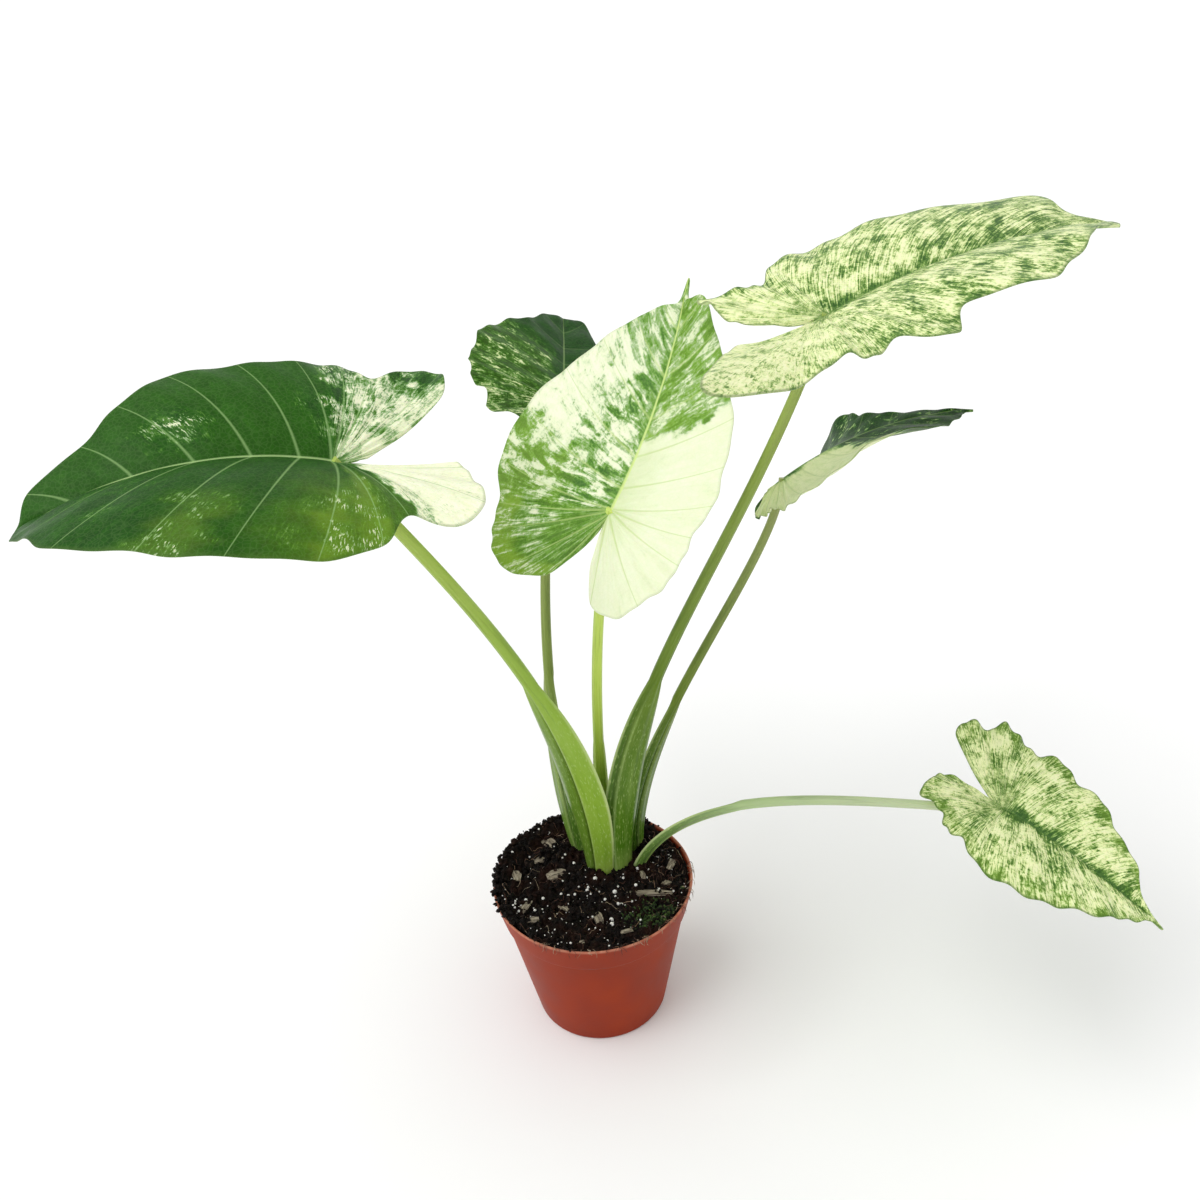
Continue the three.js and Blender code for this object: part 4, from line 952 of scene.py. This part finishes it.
def leaf_skin(name, steps, line_colour, rib_colour, seed, vein, streak=(1.4, 12.0),
              fleck=(1.3, 4.5), mottled=1.0, rib=0.85, margin=0.35, under=0.35, shine=0.22):
    """Leaf cuticle: smooth and leathery with a soft waxy sheen. Its colour goes by how much
    green is left in the tissue: dark green, grey-green, then cream where there is none, in
    streaks along the veins and in small irregular flecks. Veins are hairlines over that."""
    material, tree, surface = new_material(
        "leaf_cuticle_" + name, IOR=1.45, Specular_IOR_Level=shine, Subsurface_Weight=0.1,
        Subsurface_Radius=(0.5, 1.0, 0.2), Subsurface_Scale=0.001)
    veins, flat, region, lines = (
        add_node(tree, "Attribute", attribute_name=layer).outputs["Vector"]
        for layer in ("veins", "flat", "region", "lines"))
    in_veins, in_flat, region, lines = (
        add_node(tree, "SeparateXYZ", layer).outputs for layer in (veins, flat, region, lines))
    share, lime = in_veins["Z"], in_flat["Z"]
    # Four noises: long fine streaks drawn out along the side veins, mottling 2 to 3 mm across
    # between them, short drawn-out flecks, and clumps of those a centimetre or two wide.
    noises = []
    for place, shift, scale, detail, rough, bent in (
            (veins, 3.1, (1 / streak[0], 1 / streak[1], 0.0), 5.0, 0.66, 0.8),
            (flat, 1.3, (0.42, 0.5, 0.0), 4.0, 0.7, 0.8),
            (veins, 7.7, (1 / fleck[0], 1 / fleck[1], 0.0), 3.0, 0.6, 0.0),
            (flat, 5.5, (0.09, 0.09, 0.0), 2.0, 0.5, 0.0)):
        sized = add_node(tree, "Mapping", place, Location=(seed, shift, seed), Scale=scale)
        noises.append(add_node(tree, "TexNoise", sized, Scale=1.0, Detail=detail,
                               Roughness=rough, Distortion=bent))
    streaks, mottle, flecks, clumps = noises
    # The loss of green: the region's own, swung up and down by three of them, then the
    # flecks where they clump.
    loss, swings = region["X"], []
    for noise, low, high, swing in ((streaks, 0.33, 0.67, 0.4),
                                    (mottle, 0.33, 0.67, 0.24 * mottled),
                                    (clumps, 0.3, 0.7, 0.3 * mottled)):
        swings.append(add_node(tree, "MapRange", noise, From_Min=low, From_Max=high,
                               To_Min=-swing, To_Max=swing))
        loss = add_node(tree, "Math", swings[-1], region["Y"], loss, operation="MULTIPLY_ADD")
    flecks = add_node(tree, "MapRange", flecks, From_Min=0.53, From_Max=0.6)
    clumped = add_node(tree, "MapRange", clumps, From_Min=0.42, From_Max=0.56)
    flecks = add_node(tree, "Math", flecks, clumped, operation="MULTIPLY")
    loss = add_node(tree, "Math", flecks, region["Z"], loss, operation="MULTIPLY_ADD")
    # The colours laid over the tissue: young yellow-green, cloudy light and dark in the
    # green, the fine net in cells about 2 mm across, side veins, midrib, and a thin firm
    # edge all round. The underside is paler and duller.
    sized = add_node(tree, "Mapping", flat, Scale=(0.45, 0.45, 0.0))
    cells = add_node(tree, "TexVoronoi", sized, Scale=1.0, feature="DISTANCE_TO_EDGE")
    young, cloudy, green, net, side_vein, midrib, edge = (
        add_node(tree, "MapRange", value, From_Min=low, From_Max=high, To_Min=start, To_Max=end)
        for value, low, high, start, end in (
            (loss, 0.3, 0.6, 0.8, 0.25), (clumps, 0.3, 0.75, 0.0, 0.35),
            (loss, 0.2, 0.6, 1.0, 0.0), (cells, 0.0, 0.12, 0.08, 0.0),
            (lines["X"], 0.2, 1.5, vein, 0.0), (lines["Y"], 0.6, 1.25, rib, 0.0),
            (share, 0.975, 0.992, 0.0, margin)))
    young, cloudy, below = (
        add_node(tree, "Math", value, times, operation="MULTIPLY")
        for value, times in ((young, lime), (cloudy, green), (lines["Z"], under)))
    tissue = add_node(tree, "ValToRGB", loss, stops=steps)
    for cover, colour, blend in (
            (young, "#93b734", "MIX"), (cloudy, "#4f7f2c", "MULTIPLY"),
            (net, line_colour, "MIX"), (side_vein, line_colour, "MIX"),
            (midrib, rib_colour, "MIX"), (edge, "#4a6a2c", "MIX"), (below, "#b3c98c", "MIX")):
        tissue = add_node(tree, "Mix", Factor=cover, A=tissue, B=colour, data_type="RGBA",
                          blend_type=blend)
    waxy = add_node(tree, "MapRange", clumps, From_Min=0.3, From_Max=0.7, To_Min=0.36,
                    To_Max=0.5)
    relief = add_node(tree, "Math", net, -4.0, swings[0], operation="MULTIPLY_ADD")
    bump = add_node(tree, "Bump", Height=relief, Strength=0.3, Distance=0.0003)
    feed(surface, Base_Color=tissue, Roughness=waxy, Normal=bump)
    return material


# Colour steps of the tissue, from full green to none, of the mainly green blades and of the
# mainly pale ones.
GREEN_STEPS = [(0.0, "#1d4a0e"), (0.2, "#2c6414"), (0.34, "#55862f"), (0.42, "#86a970"),
               (0.52, "#9db98a"), (0.58, "#d2dcb6"), (0.74, "#eef2cd"), (1.0, "#f7f9de")]
DEEP_STEPS = [(0.0, "#113c07"), (0.2, "#215610"), (0.38, "#4f802f"), (0.52, "#9ab874"),
              (0.68, "#d6e2a6"), (1.0, "#ecf1c4")]
SPLIT_STEPS = [(0.0, "#2b6318"), (0.2, "#4a8426"), (0.34, "#78a648"), (0.42, "#94b478"),
               (0.52, "#a9c291"), (0.58, "#d3dfb8"), (0.76, "#e6ecca"), (1.0, "#eef2d6")]
MOTTLED_STEPS = [(0.0, "#345c22"), (0.18, "#4f7a30"), (0.34, "#7fa24e"), (0.47, "#b2c97e"),
                 (0.58, "#d9e6a2"), (0.76, "#edf3b8"), (1.0, "#f6f9c8")]

# Each look has its tissue's cream, streaks, flecks and lime, and patches laid over it: a
# side (1 the left half, -1 the right, 0 both), from vein, to vein, from share, to share, the
# softness of each, then the patch's own cream, streaks, flecks and lime. Skin holds its
# colours and how coarse its streaks and flecks are.
LOOKS = {
    "left": dict(
        base=(0.13, 0.16, 0.0, 0.02),
        patches=[
            (1, -1, 9, -1, 2, 0.1, 0.1, (0.07, 0.16, 0.0, 0.0)),
            (1, 0.4, 3.4, 0.30, 0.9, 0.5, 0.2, (0.09, 0.25, 0.16, 0.0)),
            (1, 3.9, 4.7, 0.60, 1.2, 0.25, 0.15, (0.12, 0.3, 0.45, 0.25)),
            (1, 5.3, 8.2, 0.40, 1.2, 0.6, 0.2, (0.12, 0.3, 0.16, 0.24)),
            (1, 5.9, 6.3, 0.50, 1.2, 0.2, 0.15, (0.16, 0.3, 0.48, 0.55)),
            (1, 6.5, 7.2, 0.30, 1.2, 0.2, 0.15, (0.16, 0.3, 0.55, 0.55)),
            (-1, 2.6, 3.6, 0.20, 0.6, 0.3, 0.1, (0.15, 0.3, 0.4, 0.0)),
            (-1, 5.6, 6.6, 0.15, 0.6, 0.3, 0.1, (0.16, 0.3, 0.5, 0.0)),
            (-1, 6.4, 7.4, 0.12, 1.2, 0.25, 0.1, (0.32, 0.8, 0.55, 0.0)),
            (-1, 7.4, 16, 0.05, 1.2, 0.2, 0.05, (0.56, 0.75, 0.1, 0.05)),
            (-1, 8.4, 10.4, 0.78, 1.2, 0.4, 0.08, (0.22, 0.7, 0.2, 0.0)),
            (-1, 10.5, 16, 0.10, 1.2, 0.5, 0.05, (0.66, 0.6, 0.0, 0.15)),
            (1, 8.3, 16, 0.15, 1.2, 0.15, 0.04, (0.88, 0.4, -0.25, 0.05)),
            (1, 8.3, 8.9, 0.30, 1.2, 0.15, 0.06, (0.7, 0.6, -0.25, 0.1)),
        ],
        skin=dict(steps=GREEN_STEPS, line_colour="#93b974", rib_colour="#a5c482", seed=2.0,
                  streak=(1.9, 13.0), fleck=(0.34, 3.6), vein=0.62, shine=0.1)),
    "centre": dict(
        base=(0.25, 0.5, 0.0, 0.2),
        patches=[
            (1, 0.2, 2.6, 0.08, 1.2, 0.4, 0.1, (0.46, 0.8, 0.0, 0.1)),
            (1, 2.3, 5.1, 0.30, 1.2, 0.4, 0.12, (0.84, 0.8, -0.2, 0.0)),
            (1, 2.6, 6.8, 0.04, 0.5, 0.5, 0.15, (0.46, 1.3, 0.0, 0.1)),
            (1, 5.0, 6.8, 0.40, 1.2, 0.3, 0.1, (0.42, 1.2, 0.0, 0.5)),
            (1, 6.6, 15, 0.12, 1.2, 0.4, 0.1, (0.22, 0.8, 0.0, 0.3)),
            (1, 6.9, 8.3, 0.4, 0.9, 0.3, 0.1, (0.38, 1.0, 0.0, 0.2)),
            (1, 6.6, 12, 0.8, 1.2, 0.4, 0.08, (0.32, 1.3, 0.0, 0.9)),
            (-1, 0.0, 3.7, 0.0, 1.2, 0.2, 0.1, (0.36, 0.85, 0.1, 0.4)),
            (-1, 3.75, 16, -1, 1.2, 0.08, 0.1, (0.86, 0.3, -0.05, 0.1)),
            (-1, 3.6, 16, -1, 0.25, 0.9, 0.3, (0.82, 0.3, -0.05, 1.0)),
        ],
        skin=dict(steps=SPLIT_STEPS, line_colour="#b9cf80", rib_colour="#cfe38c", seed=5.0,
                  streak=(2.4, 20.0), mottled=0.65, vein=0.6, margin=0.15)),
    "upper_right": dict(
        base=(0.54, 1.1, 0.0, 0.06),
        drawn_out=0.45, lean=1.6,
        patches=[
            (0, 0, 3, 0, 1.2, 0.8, 0.1, (0.44, 1.1, 0.0, 0.05)),
            (0, 8, 16, 0.25, 1.2, 0.8, 0.1, (0.66, 0.95, 0.0, 0.08)),
            (0, 0.8, 16, -1, 0.09, 0.8, 0.07, (0.3, 0.9, 0.0, 0.0)),
            (0, 0, 9, 0.92, 1.2, 0.5, 0.06, (0.44, 0.9, 0.0, 0.05)),
        ],
        skin=dict(steps=MOTTLED_STEPS, line_colour="#7d9a55", rib_colour="#64883f", seed=8.0,
                  streak=(0.6, 6.5), vein=0.2, rib=0.4, margin=0.6)),
    "back": dict(
        base=(0.07, 0.25, 0.05, 0.0),
        patches=[
            (1, 3, 7.5, 0.15, 1.2, 0.8, 0.15, (0.24, 0.65, 0.3, 0.1)),
            (1, 7.5, 13, 0.2, 1.2, 0.8, 0.15, (0.33, 0.95, 0.2, 0.1)),
        ],
        skin=dict(steps=DEEP_STEPS, line_colour="#86a866", rib_colour="#9dbb78", seed=11.0,
                  streak=(1.0, 9.0), vein=0.25, rib=0.35, shine=0.06)),
    "right": dict(
        base=(0.06, 0.2, 0.45, 0.0),
        patches=[
            (-1, 3.6, 16, 0.04, 1.2, 0.3, 0.08, (0.9, 0.4, 0.0, 0.1)),
        ],
        skin=dict(steps=DEEP_STEPS, line_colour="#8fae66", rib_colour="#8fae66", seed=14.0,
                  vein=0.3, rib=0.5, under=0.1, shine=0.1)),
    "low_right": dict(
        base=(0.57, 1.15, 0.0, 0.08),
        patches=[
            (0, 0, 16, 0.82, 1.2, 0.5, 0.1, (0.46, 1.1, 0.0, 0.35)),
            (0, 0.6, 16, -1, 0.11, 0.8, 0.11, (0.2, 0.95, 0.0, 0.0)),
        ],
        skin=dict(steps=MOTTLED_STEPS, line_colour="#70904a", rib_colour="#54793a", seed=17.0,
                  streak=(0.65, 8.0), vein=0.2, rib=0.5, margin=0.7)),
}

for name, blade in BLADES.items():
    look = dict(LOOKS[name])
    skin = leaf_skin(name, **look.pop("skin"))
    attach(make_blade(name, blade, **look), skin, "leaf_" + name)


# Stage: a plain pale floor under a white sky that is brightest at the horizon, soft
# studio light from the upper left, and the camera at the photograph's angle.

FLOOR_REACH = 15.0
floor_mesh = bpy.data.meshes.new("floor")
floor_mesh.from_pydata([(x * FLOOR_REACH, y * FLOOR_REACH, 0)
                        for x, y in ((-1, -1), (1, -1), (1, 1), (-1, 1))], [], [(0, 1, 2, 3)])
floor = bpy.data.objects.new("floor", floor_mesh)
bpy.context.scene.collection.objects.link(floor)
paper = new_material("matt_white_paper", Base_Color="#fbfbfb", Roughness=1.0,
                     Specular_IOR_Level=0.0)[0]
floor_mesh.materials.append(paper)

world = bpy.data.worlds.new("studio")
bpy.context.scene.world = world
world.use_nodes = True
sky = world.node_tree
height = add_node(sky, "SeparateXYZ", add_node(sky, "TexCoord").outputs["Object"])
glow = add_node(sky, "MapRange", height.outputs["Z"], From_Max=0.16, To_Min=1.0, To_Max=0.71)
feed(sky.nodes["Background"], Color="#ffffff", Strength=glow)


def stand(piece, place, forward, right):
    """Puts a light or the camera into the scene: its -Z looks forward and its X is right."""
    view = Matrix(np.stack([right, np.cross(right, forward), -forward], 1).tolist()).to_4x4()
    view.translation = place
    piece.matrix_world = view
    bpy.context.scene.collection.objects.link(piece)


# One big soft light high at the left, as even over the floor as overcast daylight.
LIGHT_SPREAD, LIGHT_STRENGTH, LIGHT_PLACE = 50, 1.5, (-0.9, -0.3, 1.6)
light = bpy.data.lights.new("soft_key", "SUN")
light.angle, light.energy = math.radians(LIGHT_SPREAD), LIGHT_STRENGTH
shining = -np.array(LIGHT_PLACE) / np.linalg.norm(LIGHT_PLACE)
level = np.cross(shining, (0, 0, 1))
stand(bpy.data.objects.new("soft_key", light), LIGHT_PLACE, shining,
      level / np.linalg.norm(level))

# The camera looks down on the plant and is turned a little about its own line of sight.
CAMERA_PITCH, CAMERA_ROLL, CAMERA_PLACE = 31.0, -4.2, (0.0165, -0.5576, 0.6237)
SENSOR_WIDTH, FOCAL_LENGTH = 36.0, 37.5
pitch, roll = math.radians(CAMERA_PITCH), math.radians(CAMERA_ROLL)
forward = np.array([0, math.cos(pitch), -math.sin(pitch)])
level = np.array([1.0, 0, 0])
camera_data = bpy.data.cameras.new("camera")
camera_data.sensor_width, camera_data.lens = SENSOR_WIDTH, FOCAL_LENGTH
camera = bpy.data.objects.new("camera", camera_data)
stand(camera, CAMERA_PLACE, forward,
      math.cos(roll) * level + math.sin(roll) * np.cross(level, forward))
bpy.context.scene.camera = camera
bpy.context.scene.view_settings.view_transform = "Standard"
